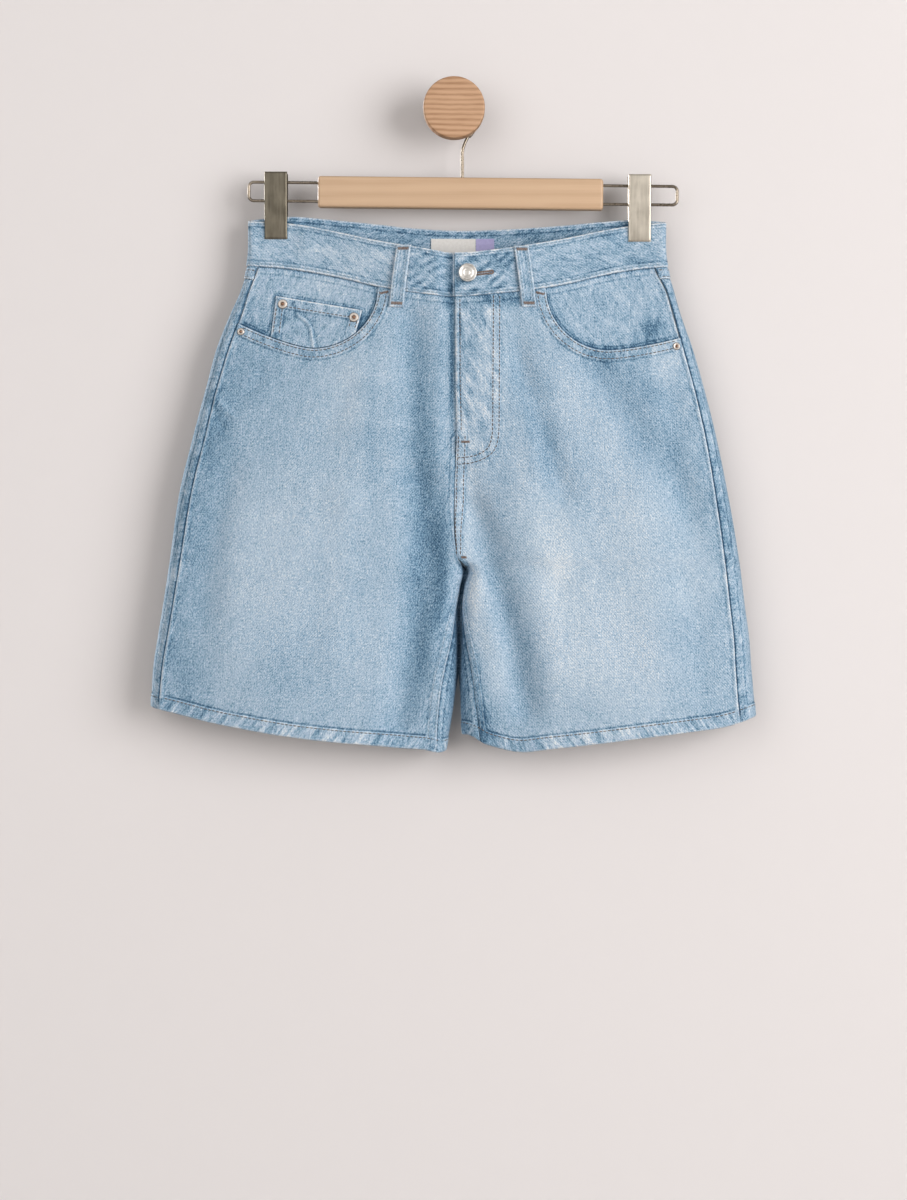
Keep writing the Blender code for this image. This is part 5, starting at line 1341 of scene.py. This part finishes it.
def back_borders(side):
    """The borders of the back yoke and the back panel under it, as (q, z) points."""
    gap = seam_gap_q(side, WAIST_SIDE_Z)

    def seam_height(x, q):
        return np.where(q > 1, waist_z("seam", FRONT, x), waist_z("seam", BACK, x)) - SEAM_GAP

    top = wrapped_border(side, seam_height, gap, WAIST_SIDE_Z)
    middle = wrapped_border(side, lambda x, q: yoke_z(x) + SEAM_GAP * 0.8, gap, YOKE_SIDE_Z)
    under_gap = seam_gap_q(side, YOKE_SIDE_Z - YOKE_DROP)
    under = wrapped_border(side, lambda x, q: yoke_z(x) - SEAM_GAP / 2, under_gap, YOKE_SIDE_Z)
    hem_start = -inseam_q(side, HEM_INNER_Z) + seam_gap_q(side, HEM_INNER_Z)
    hem_end = 2 - outseam_q(side, HEM_SIDE_Z) - seam_gap_q(side, HEM_SIDE_Z)
    return top, middle, under, hem_border(side, BACK, hem_start, hem_end, 241)


class BackPanels(Making, bpy.types.Operator):
    """Cut and sew the back yokes and back panels, which wrap round the sides to the outseams"""

    bl_idname = "denim_shorts.back_panels"
    bl_label = "Back Yokes and Panels"

    def execute(self, context):
        for side, name in SIDE_NAMES.items():
            top, middle, under, bottom = back_borders(side)
            self.yoke(side, f"back_yoke_{name}", top, middle)
            self.panel(side, f"back_panel_{name}", under, bottom, [f"cloth_back_yoke_{name}"])
        return {"FINISHED"}

    def outseam(self, side, top, bottom, count):
        end_z = np.linspace(top[-1, 1], bottom[-1, 1], count)
        return points_of(2 - outseam_q(side, end_z) - seam_gap_q(side, end_z), end_z)

    def yoke(self, side, node, top, bottom):
        """The patch between the waist seam, the yoke's seam, the centre back and the outseam."""
        start, end = evenly([top[0], bottom[0]]), self.outseam(side, top, bottom, 21)
        end[0], end[-1] = top[-1], bottom[-1]
        edges = {"yoke_top": top, "yoke_foot": bottom, "yoke_centre": start, "yoke_outseam": end}
        piece = Piece(leg_place(side, BACK), seams=edge_seams(side, edges))
        sewn(node, piece, graded(0.05, 10, 100, 10, 0.05), shares(36), "denim",
             patch(side, *edges.values()))
        thread(f"topstitch_{node}", seam_rows(piece, (90.0, -160.0)), "thread")

    def panel(self, side, node, top, bottom, rests_on):
        """The patch between the yoke's seam, the hem, the centre back with the inseam, and the outseam."""
        end = self.outseam(side, top, bottom, 161)
        start_z = np.linspace(top[0, 1], bottom[0, 1], 481)
        gap = seam_gap_q(side, start_z)
        in_leg = start_z < CROTCH_Z
        inseam = np.where(in_leg, -inseam_q(side, start_z) + 2 * gap, gap)
        centre = q_at(side, outline("inner", side, start_z) + side * SEAM_GAP / 2, start_z)
        start = points_of(np.where(in_leg, inseam, np.maximum(centre, gap)), start_z)
        top[0], top[-1] = start[0], end[0]
        bottom[0], bottom[-1] = start[-1], end[-1]
        edges = {"back_top": top, "back_outseam": end, "hem": bottom, "back_inseam": start[start_z < CROTCH_Z - 6],
                 "back_centre": start[start_z > CROTCH_Z + 4]}
        piece = Piece(leg_place(side, BACK), 0.0, hem_wall(side), edge_seams(side, edges))
        us, vs = graded(0.05, 16, 112, 26, 0.09), graded(0.035, 14, 152, 18, 0.045)
        sewn(node, piece, us, vs, "denim", patch(side, top, bottom, start, end))
        thread(f"topstitch_{node}", seam_rows(piece, (130.0, -380.0)), "thread")


class BackPockets(Making, bpy.types.Operator):
    """Sew a plain five-sided patch pocket on each back panel"""

    bl_idname = "denim_shorts.back_pockets"
    bl_label = "Back Pockets"

    def execute(self, context):
        tacks = [tack for side, name in SIDE_NAMES.items() for tack in self.pocket(side, name)]
        spindles("bartacks_back", tacks, TACK_WIDTH, 0.7, "tack")
        return {"FINISHED"}

    def pocket(self, side, name):
        """Sews one pocket, the patch between the lines through its five corners, and gives its two bartacks."""
        corner = {key: np.array([1 + side * x, z], float) for key, (x, z) in BACK_POCKET.items()}

        def line(*keys, count=161):
            return evenly([corner[key] for key in keys], count)

        borders = [to_q(side, line(*keys)) for keys in (
            ("inner_top", "outer_top"), ("inner_low", "tip", "outer_low"), ("inner_top", "inner_low"),
            ("outer_top", "outer_low"))]
        around = ("inner_top", "inner_low", "tip", "outer_low", "outer_top")
        seams = [Seam("pocket_top", flat_path(side, line("inner_top", "outer_top", count=30)))]
        seams += [Seam("pocket_side", flat_path(side, line(*pair, count=24))) for pair in zip(around, around[1:])]
        piece = Piece(leg_place(side, BACK), PATCH_LIFT + PATCH_DENIM, PATCH_DENIM, seams)
        us, vs = graded(0.06, 8, 56, 8, 0.06), graded(0.08, 12, 62, 8, 0.06)
        sewn(f"back_pocket_{name}", piece, us, vs, "denim", patch(side, *borders))
        middle_x = 1 + side * 102
        thread(f"topstitch_back_pocket_{name}", seam_rows(piece, flat_spot(side, middle_x, -262)), "thread")
        tacks = []
        for x, z in (corner["inner_top"], corner["outer_top"]):
            place = flat_spot(side, x + np.sign(middle_x - x) * 4.0, z - 5.5)
            tacks.append(bartack(piece, *place, math.radians(90)))
        return tacks


class Waistband(Making, bpy.types.Operator):
    """Sew the doubled waistband, which laps at the centre front, with its edge rows and its buttonhole"""

    bl_idname = "denim_shorts.waistband"
    bl_label = "Waistband"

    def execute(self, context):
        piece, length, run_at = self.band()
        us, vs = shares(470) * length, graded(0.08, 4, 18, 4, 0.08) * BAND_HEIGHT
        sewn("waistband", piece, us, vs, "band_denim", two_faced=True)
        thread("topstitch_waistband", seam_rows(piece, (length / 2, BAND_HEIGHT / 2)), "blue_thread")
        self.buttonhole(piece, run_at)
        return {"FINISHED"}

    def band(self):
        """The band's Piece, its length, and where along it a place round the waist lies. Its cloth runs along the
        middle line of the waist, and across it straight from the top edge to the seam."""
        lap_q = q_at(RIGHT, LAP_END_X, BAND_MID_Z)
        under_q = q_at(LEFT, UNDERLAP_END_X, BAND_MID_Z)
        girth = np.r_[np.linspace(-lap_q, 0.06, 12)[:-1], np.linspace(0.06, 4, 500)[:-1],
                      np.linspace(4, 4 + under_q, 24)]
        side, face, q = strip_of_girth(girth)
        middle = (waist_edge_z("top", girth) + waist_edge_z("seam", girth)) / 2
        line = surface(side, face, q, middle)
        run = run_of(line)
        length = run[-1]

        def at(a, b):
            place = np.interp(a, run, girth)
            top, seam = waist_edge_z("top", place), waist_edge_z("seam", place)
            return (*strip_of_girth(place), top + (seam - top) * b / BAND_HEIGHT)

        def lift(a, b):
            place = np.interp(a, run, girth)
            side, face, q, z = at(a, b)
            x = surface(side, face, q, z)[..., 0]
            return BAND_PROUD - UNDERLAP_SINK * smooth(-17, -4, x) * (place > 3)

        ends = [(0, 0), (length, 0)], [(0, BAND_HEIGHT), (length, BAND_HEIGHT)]
        seams = [Seam(kind, path) for kind, path in zip(
            ("band_top", "band_foot", "band_lap", "band_underlap"), (*ends, *zip(*ends)))]

        def extra(a, b):
            """Shallow pulls across the band, rubbed streaks each side of the button, and marbling all over."""
            ripple = np.sin(a / 9.2 + 1.8 * np.sin(a / 47) + 0.9 * np.sin(b / 8)) * np.sin(b * math.pi / BAND_HEIGHT)
            near = np.exp(-(((a - 26) / 34) ** 2)) + 0.7 * np.exp(-(((a - length + 62) / 26) ** 2))
            streaks = np.sin((b + 0.5 * a) / 1.6 + 1.9 * np.sin(a / 8 + b / 15)) * np.sin(a / 11 + 1 - b / 9)
            return 0.16 * ripple + 0.25 * near * streaks, 0.06 * ripple + near * (0.75 * streaks - 0.2), 1.0

        return Piece(at, lift, DOUBLED_DENIM, seams, extra), length, lambda value: np.interp(value, girth, run)

    def buttonhole(self, piece, run_at):
        """Close stitches down both sides of a slit, splayed round its far end."""
        start_x, end_x, slit_z = 14.0, 35.2, BUTTON_PLACE[1]
        q = q_at(LEFT, np.array([start_x, end_x]), slit_z)
        a0, a1 = run_at(q)
        top, seam = waist_edge_z("top", q.mean()), waist_edge_z("seam", q.mean())
        b = BAND_HEIGHT * (slit_z - top) / (seam - top)
        straight = np.arange(a0, a1 - 1.5, TACK_PITCH)
        rows = []
        for way in (-1, 1):
            inner = points_of(straight, b + way * 0.1)
            rows.append((inner, inner + (0, way * 1.9)))
        turn = np.linspace(-math.pi / 2, math.pi / 2, 9)
        centre = np.array([a1 - 1.5, b])
        spoke = points_of(np.cos(turn), np.sin(turn))
        rows.append((centre + spoke * 0.5, centre + spoke * 2.4))
        stitches = [laid_on(piece, inner, outer, 0.08) for inner, outer in rows]
        spindles("buttonhole_thread", stitches, 0.68, 0.6, "tack")


class BeltLoops(Making, bpy.types.Operator):
    """Sew the five belt loops over the waistband, bowed off it, with a bar of thread at each end"""

    bl_idname = "denim_shorts.belt_loops"
    bl_label = "Belt Loops"

    def execute(self, context):
        tacks = [tack for name, place in LOOPS.items() for tack in self.loop(name, *place)]
        spindles("bartacks_belt_loops", tacks, TACK_WIDTH, 0.45, "tack")
        return {"FINISHED"}

    def loop(self, name, face, top_x, foot_x):
        """Sews one loop, which runs straight down and bows off the band by a squared sine, and gives its bartacks."""
        side = RIGHT if top_x < 0 else LEFT
        top_z = waist_z("top", face, top_x) - 0.5
        seam_z = waist_z("seam", face, foot_x)
        length = top_z - (seam_z - LOOP_PAST_SEAM)

        def at(a, b):
            z = top_z - b
            x = top_x + (foot_x - top_x) * b / length + a
            near_side = side if name != "centre_back" else np.where(x > 1, LEFT, RIGHT)
            return near_side, face, q_at(near_side, x, z), z

        def lift(a, b):
            on_band = smooth(seam_z - 6, seam_z - 3, top_z - b)
            bow = LOOP_BOW * np.sin(math.pi * np.clip(b / length, 0, 1)) ** 2
            return PATCH_LIFT + BAND_PROUD * on_band + bow + LOOP_DENIM

        half = LOOP_WIDTH / 2
        seams = [Seam("loop_side", [(a, 0), (a, length)]) for a in (-half, half)]
        seams += [Seam("loop_end", [(-half, b), (half, b)]) for b in (0, length)]
        piece = Piece(at, lift, LOOP_DENIM, seams)
        us, vs = (shares(19) - 0.5) * LOOP_WIDTH, shares(64) * length
        sewn(f"belt_loop_{name}", piece, us, vs, "denim")
        thread(f"topstitch_belt_loop_{name}", seam_rows(piece, (0.0, length / 2)), "blue_thread")
        return [bartack(piece, 0.0, b, 0.0, length=LOOP_WIDTH - 3.0, width=3.2) for b in (3.2, length - 3.2)]


class Label(Making, bpy.types.Operator):
    """Sew the bare two-tone ribbon inside the back waistband"""

    bl_idname = "denim_shorts.label"
    bl_label = "Ribbon Label"

    def execute(self, context):
        def at(a, b):
            """Level across the back, and straight down."""
            side = np.where(a > 0.9, LEFT, RIGHT)
            return side, BACK, q_at(side, a, LABEL_TOP_Z - b), LABEL_TOP_Z - b

        for name, (low_x, high_x) in LABEL_PARTS.items():
            top_edge = Seam("label_top", [(low_x, 0), (high_x, 0)])
            piece = Piece(at, BAND_PROUD - DOUBLED_DENIM - PATCH_LIFT, LABEL_CLOTH, [top_edge])
            us, vs = low_x + (high_x - low_x) * shares(28), shares(22) * (LABEL_TOP_Z - LABEL_LOW_Z)
            sewn(f"label_{name}", piece, us, vs, f"label_{name}")
        return {"FINISHED"}


# ---- Operators: fittings, hanger and peg ----


def fitting(name, node, side, x, z, radius, lift, profile, finish, steps=48):
    """A turned fitting on the front of the cloth, standing along the outward normal. Its profile goes by shares of
    the radius and by heights."""
    spot, normal = (each[0] for each in stand(side, FRONT, np.array([q_at(side, x, z)]), np.array([z])))
    turned(name, np.array(profile) * (radius, 1), spot + normal * lift, normal, finish, node, steps)


class ButtonAndRivets(Making, bpy.types.Operator):
    """Set the ringed button in its buttonhole and a dished rivet at each pocket corner"""

    bl_idname = "denim_shorts.fittings"
    bl_label = "Button and Rivets"

    def execute(self, context):
        cap = [(0.0, 3.75), (0.16, 3.8), (0.24, 3.55), (0.3, 3.4), (0.38, 3.45), (0.44, 3.75), (0.5, 3.85),
               (0.56, 3.75), (0.62, 3.45), (0.68, 3.4), (0.76, 3.7), (0.84, 4.15), (0.9, 4.25), (0.96, 4.05),
               (1.0, 3.5), (1.0, 3.0), (0.97, 2.6), (0.9, 2.4), (0.55, 2.3), (0.4, 2.2), (0.4, 0.0), (0.0, 0.0)]
        fitting("button_cap", "button", LEFT, *BUTTON_PLACE, BUTTON_RADIUS, BAND_PROUD + SEAM_GAP, cap,
                "button_metal", 72)
        on_coin = -FACING_DEPTH + PATCH_LIFT + COIN_DENIM + SEAM_GAP
        for name, (x, z) in COIN_RIVET_PLACES.items():
            self.rivet(f"rivet_coin_{name}", RIGHT, x, z, RIVET_RADIUS, on_coin)
        for side, name in SIDE_NAMES.items():
            z = MOUTHS[side]["end_z"] - SIDE_RIVET_DROP
            x = float(surface(side, FRONT, outseam_q(side, z), z)[0]) - side * SIDE_RIVET_INSET
            self.rivet(f"rivet_mouth_{name}", side, x, z, SIDE_RIVET_RADIUS, PATCH_LIFT)
        return {"FINISHED"}

    def rivet(self, node, side, x, z, radius, lift):
        """A burr head: a rounded rim round a shallow dish with a small nub in the middle."""
        head = [(0.0, 1.75), (0.14, 1.7), (0.22, 1.45), (0.3, 1.15), (0.42, 1.05), (0.55, 1.2), (0.7, 1.45),
                (0.82, 1.4), (0.92, 1.05), (1.0, 0.5), (0.98, 0.1), (0.9, 0.0), (0.0, 0.0)]
        fitting(f"head_{node}", node, side, x, z, radius, lift, head, "rivet_metal")


def bar_point(along_x, up, depth=0.0):
    """A point of the tilted bar's frame: along it, up from its axis and towards the wall."""
    cos, sin = math.cos(BAR_TILT), math.sin(BAR_TILT)
    x = BAR_CENTRE[0] + along_x * cos - up * sin
    z = BAR_CENTRE[2] + along_x * sin + up * cos
    return points_of(x, BAR_CENTRE[1] + depth, z)


class HangerBar(Making, bpy.types.Operator):
    """Shape the wooden bar: a long block with rounded edges and ends drawn in"""

    bl_idname = "denim_shorts.hanger_bar"
    bl_label = "Hanger Bar"

    def execute(self, context):
        # A rectangle with quarter-circle corners, carried along the bar and drawn in at both ends: round a quarter
        # circle first, then flat.
        half, corner = np.array(BAR_SIZE) / 2, 2.6
        turn = quarter(7)
        arc = points_of(np.cos(turn), np.sin(turn)) * corner + (half[1:] - corner)
        section = np.concatenate([arc, arc[::-1] * (-1, 1), arc * (-1, -1), arc[::-1] * (1, -1)])
        steps = quarter(6)
        x = half[0] - corner + corner * np.sin(steps)
        x = np.r_[x, [x[-1]] * 3]
        inset = np.r_[corner * (1 - np.cos(steps)), 3.4, 4.6, 5.9]
        x, inset = np.r_[-x[::-1], x], np.r_[inset[::-1], inset]
        y, z = (section[:, k] * (1 - inset / half[k + 1])[:, None] for k in (0, 1))
        faces = quads(len(x), len(section), wrap=True)
        make_object("bar_of_beech", bar_point(x[:, None], z, y), faces, "beech", "hanger_bar", sharp=40)
        return {"FINISHED"}


class HangerWires(Making, bpy.types.Operator):
    """Bend the two wire loops at the bar's ends, and the hook that hangs on the peg"""

    bl_idname = "denim_shorts.hanger_wires"
    bl_label = "Hanger Wires and Hook"

    def execute(self, context):
        # Each loop runs straight out, round two quarter circles and straight back.
        half, turn = WIRE_PITCH / 2, quarter(12)
        for side, name in SIDE_NAMES.items():
            end_x = (WIRE_ENDS[side] - BAR_CENTRE[0]) - side * WIRE_RADIUS
            start_x = side * (BAR_SIZE[0] / 2 - 2.0)
            upper = points_of(end_x - side * WIRE_CORNER * (1 - np.sin(turn)), half - WIRE_CORNER * (1 - np.cos(turn)))
            path = np.concatenate([[(start_x, half)], upper, upper[::-1] * (1, -1), [(start_x, -half)]])
            tube(f"nickel_wire_loop_{name}", bar_point(*path.T), f"wire_loop_{name}")
        # The hook runs up its stem, then round a circle that rests on the peg's stem.
        centre_z = PEG_STEM_RADIUS + SEAM_GAP + WIRE_RADIUS - HOOK_BEND_RADIUS
        turn = np.linspace(*HOOK_ARC_ANGLES, 60)
        arc = HOOK_BEND_RADIUS * points_of(np.cos(turn), np.sin(turn)) + (0, centre_z)
        path = np.concatenate([rounded([*HOOK_STEM, arc[0]], 6), arc[1:]])
        tube("nickel_hook", np.insert(path, 1, MID_Y, axis=1), "hook")
        return {"FINISHED"}


class Clips(Making, bpy.types.Operator):
    """Press the four clip plates: shallow channels with rounded sides and ends"""

    bl_idname = "denim_shorts.clips"
    bl_label = "Clip Plates"

    def execute(self, context):
        # Painted light and shade: the left clips get the pale copy of the nickel, the right ones the dark copy.
        for side, finish in ((RIGHT, "dark_nickel"), (LEFT, "pale_nickel")):
            for face, facing in ((FRONT, "front"), (BACK, "back")):
                self.plate(f"clip_{facing}_{SIDE_NAMES[side]}", side, face, finish)
        return {"FINISHED"}

    def plate(self, node, side, face, finish):
        """The channel's section runs up one flange, round a quarter circle, across the plate and down again; the
        wall is this surface and the same one a plate's thickness inside it."""
        half, bend, turn = CLIP_WIDTH / 2, 1.6, quarter(7)
        ends = np.array([0, 0.4, 1.0])
        down = np.r_[ends, np.linspace(2, CLIP_LENGTH - 2, 36), CLIP_LENGTH - ends[::-1]]
        rounding = np.minimum(down, CLIP_LENGTH - down)
        tuck = 0.55 * (1 - smooth(0, 1.2, rounding))
        plate, flange = along(CLIP_PROFILE, "plate", down), along(CLIP_PROFILE, "flange", down)
        dish = 0.35 * np.sin(np.pi * np.clip((down - 6) / 40, 0, 1))

        def layer(inset):
            corner = points_of(half - bend + bend * np.cos(turn), np.sin(turn) * bend - bend)
            flat_x = np.linspace(half - bend, -half + bend, 9)[1:-1]
            x = np.r_[half, corner[:, 0], flat_x, -corner[::-1, 0], -half]
            rise = np.r_[-99.0, corner[:, 1], np.zeros(len(flat_x)), corner[::-1, 1], -99.0]
            x = x * (1 - inset / half)
            top = (plate - inset - tuck)[:, None] + rise[None, :]
            hollow = -dish[:, None] * np.exp(-((x / 5.5) ** 2))[None, :]
            reach = np.maximum(top + hollow * (rise > -1), flange[:, None])
            return points_of(CLIP_X[side] + x, MID_Y + face * reach, CLIP_TOP_Z[side] - down[:, None])

        layers = [layer(0.0), layer(CLIP_PLATE)]
        make_object(f"pressed_{node}", layers, wall_faces(*layers[0].shape[:2])[0], finish, node, sharp=45)


class WallPeg(Making, bpy.types.Operator):
    """Turn the round wall peg: a stem and a flat head with eased edges"""

    bl_idname = "denim_shorts.wall_peg"
    bl_label = "Wall Peg"

    def execute(self, context):
        # The profile: a flat face, quarter circles round both of the head's edges, and the stem to the wall.
        front, head, ease = PEG_STEM_LENGTH + PEG_HEAD_THICKNESS, PEG_HEAD_RADIUS, PEG_EDGE
        turn = quarter(7)
        upper = [(head - ease + ease * math.sin(t), front - ease + ease * math.cos(t)) for t in turn]
        lower = [(head - ease + ease * math.cos(t), PEG_STEM_LENGTH + ease - ease * math.sin(t)) for t in turn]
        face = [(radius, front) for radius in (0.0, head * 0.3, head * 0.6, head * 0.85)]
        stem = [(PEG_STEM_RADIUS + 1.2, PEG_STEM_LENGTH), (PEG_STEM_RADIUS, PEG_STEM_LENGTH - 1.2),
                (PEG_STEM_RADIUS, 0.6), (PEG_STEM_RADIUS - 0.4, 0.0), (0.0, 0.0)]
        turned("turned_wall_peg", face + upper + lower + stem, (0, 0, 0), (0, -1, 0), "oiled_wood", "wall_peg", 96)
        return {"FINISHED"}


# ---- Operators: the stage ----


class Stage(Making, bpy.types.Operator):
    """Set the pale wall and floor, the soft lights and the camera"""

    bl_idname = "denim_shorts.stage"
    bl_label = "Stage, Lights and Camera"

    def execute(self, context):
        look = context.scene.denim_stage
        self.backdrop(look)
        self.lights(look)
        self.surround(look)
        camera = bpy.data.cameras.new("camera")
        camera.sensor_fit = "VERTICAL"
        camera.sensor_height = 36.0
        camera.lens = camera.sensor_height * look.camera_distance / look.view_height
        viewer = add_object("camera", camera)
        viewer.location = (CAMERA_X, MID_Y * MM - look.camera_distance, look.camera_height)
        viewer.rotation_euler = (math.pi / 2, 0, 0)
        context.scene.camera = viewer
        context.scene.view_settings.view_transform = "Standard"
        return {"FINISHED"}

    def backdrop(self, look):
        """A wall that curves into a floor: down the wall, a quarter circle, then out over the floor. From behind it
        is clear, so that the back of the object can be looked at."""
        bend, floor_z, height, depth, half_width = 0.35, -1.55, 1.6, 5.0, 4.0
        turn = quarter(16)
        y = np.r_[0.0006, -bend + bend * np.cos(turn), -depth]
        z = np.r_[height, floor_z + bend - bend * np.sin(turn), floor_z]
        points = points_of([-half_width, half_width], y[:, None], z[:, None]).reshape(-1, 3)
        mesh = bpy.data.meshes.new("wall_and_floor")
        mesh.from_pydata(points, [], quads(len(y), 2)[:, ::-1])
        mesh.shade_smooth()
        for name, colour in (("matt_wall_paint", look.wall_colour), ("matt_floor_paint", look.floor_colour)):
            finish, add, shader = new_material(name, 0.9, Specular_IOR_Level=0.1, Base_Color=(*colour, 1))
            mesh.materials.append(finish)
            if name == "matt_wall_paint":
                unseen = add("Math SUBTRACT", (1.0, add("LightPath", output="Is Camera Ray")))
                gone = add("Math MAXIMUM", (add("NewGeometry", output="Backfacing"), unseen))
                mixed = add("MixShader", (gone, shader.outputs[0], add("BsdfTransparent")))
                feed(finish.node_tree.nodes["Material Output"], Surface=mixed)
        mesh.polygons[len(y) - 2].material_index = 1
        add_object("wall_and_floor", mesh)

    def lights(self, look):
        """A broad soft key from the right, a weaker fill from the left and a smaller lamp behind."""
        target = np.array([0.0, MID_Y * MM, -0.33])
        for name, place, size, power in (
            ("key", (3.4, -3.0, 0.25), 3.4, look.key_power),
            ("fill", (-2.4, -3.9, 0.6), 4.5, look.fill_power),
            ("rear", (-2.6, 2.4, 0.7), 1.0, look.rear_power),
        ):
            lamp = bpy.data.lights.new(name, "AREA")
            lamp.shape, lamp.size, lamp.energy, lamp.color = "DISK", size, power, look.light_colour
            if name == "rear":
                lamp.use_nodes = True
                feed(lamp.node_tree.nodes["Emission"], Strength=self.unbounced(lamp.node_tree))
            holder = add_object(name, lamp)
            aim = target - np.array(place)
            holder.location = place
            holder.rotation_euler = (math.acos(-aim[2] / np.linalg.norm(aim)), 0,
                                     math.atan2(aim[1], aim[0]) - math.pi / 2)

    def surround(self, look):
        """An even surrounding light, weaker from behind."""
        world = bpy.context.scene.world or bpy.data.worlds.new("studio")
        bpy.context.scene.world = world
        world.use_nodes = True
        add, ground = partial(add_node, world.node_tree), world.node_tree.nodes["Background"]
        ground.inputs["Color"].default_value = (*look.world_colour, 1)
        behind = add("SeparateXYZ", (add("TexCoord", output="Generated"),), "Y")
        ahead = add("Math MAXIMUM", (add("Math LESS_THAN", (behind, 0.0)), 0.45))
        lit = add("Math MAXIMUM", (ahead, self.unbounced(world.node_tree)))
        feed(ground, Strength=add("Math MULTIPLY", (lit, look.world_strength)))

    def unbounced(self, tree):
        """1 for light that falls straight on what the camera sees, 0 once it has bounced: from behind the wall,
        bounced light would make the wall glow."""
        return add_node(tree, "Math LESS_THAN", (add_node(tree, "LightPath", output="Ray Depth"), 1.5))


# ---- Properties, panel and registration ----

Length = partial(FloatProperty, unit="LENGTH")
Power = partial(FloatProperty, unit="POWER")
Colour = partial(FloatVectorProperty, size=3, subtype="COLOR")


class DenimLook(bpy.types.PropertyGroup):
    """What a user would change about the cloth."""

    twill_pitch: Length(name="Twill Pitch", default=1.3 * MM, description="Distance between the diagonal ribs, "
                        "drawn coarser than the real half millimetre so that it shows")
    roping: FloatProperty(name="Roping", default=0.8, description="Contrast of the bars along sewn edges")
    marbling: FloatProperty(name="Marbling", default=0.8, description="Contrast of the wash's marbling")
    speckle: FloatProperty(name="Speckle", default=1.6, description="Contrast of the weave's blue and white picks")


class StageLook(bpy.types.PropertyGroup):
    """What a user would change about the stage."""

    camera_distance: Length(name="Camera Distance", default=2.55, description="From the cloth's mid plane")
    camera_height: Length(name="Camera Height", default=-0.4407, description="Height of the level camera")
    view_height: Length(name="View Height", default=1.08, description="Height of the view at the mid plane")
    wall_colour: Colour(name="Wall Colour", default=to_linear("#eae6e5"), description="Paint of the wall")
    floor_colour: Colour(name="Floor Colour", default=to_linear("#c9c3bf"), description="Paint of the floor")
    light_colour: Colour(name="Light Colour", default=to_linear("#fffdfd"), description="Colour of the lamps")
    world_colour: Colour(name="Surround Colour", default=to_linear("#f6f2ee"), description="Surrounding light")
    world_strength: FloatProperty(name="Surround Strength", default=0.37, description="Surrounding light's strength")
    key_power: Power(name="Key Power", default=154.0, description="Power of the key lamp")
    fill_power: Power(name="Fill Power", default=60.0, description="Power of the fill lamp")
    rear_power: Power(name="Rear Power", default=145.0, description="Power of the lamp behind")


OPERATORS = (FrontPanels, PocketFacings, BackPanels, BackPockets, Waistband, BeltLoops, Label, ButtonAndRivets,
             HangerBar, HangerWires, Clips, WallPeg, Stage)


class DenimShortsPanel(bpy.types.Panel):
    """Lists the operators in the order in which they are used."""

    bl_idname = "VIEW3D_PT_denim_shorts"
    bl_label = "Denim Shorts"
    bl_space_type = "VIEW_3D"
    bl_region_type = "UI"
    bl_category = "Denim Shorts"

    def draw(self, context):
        for operator in OPERATORS:
            self.layout.operator(operator.bl_idname)
        for group in (context.scene.denim_look, context.scene.denim_stage):
            for key in group.__annotations__:
                self.layout.prop(group, key)


CLASSES = (DenimLook, StageLook, *OPERATORS, DenimShortsPanel)


def register():
    for each in CLASSES:
        bpy.utils.register_class(each)
    bpy.types.Scene.denim_look = PointerProperty(type=DenimLook)
    bpy.types.Scene.denim_stage = PointerProperty(type=StageLook)


def unregister():
    del bpy.types.Scene.denim_stage
    del bpy.types.Scene.denim_look
    for each in reversed(CLASSES):
        bpy.utils.unregister_class(each)


def main():
    register()
    for operator in OPERATORS:
        group, name = operator.bl_idname.split(".")
        getattr(getattr(bpy.ops, group), name)()


if __name__ == "__main__":
    main()
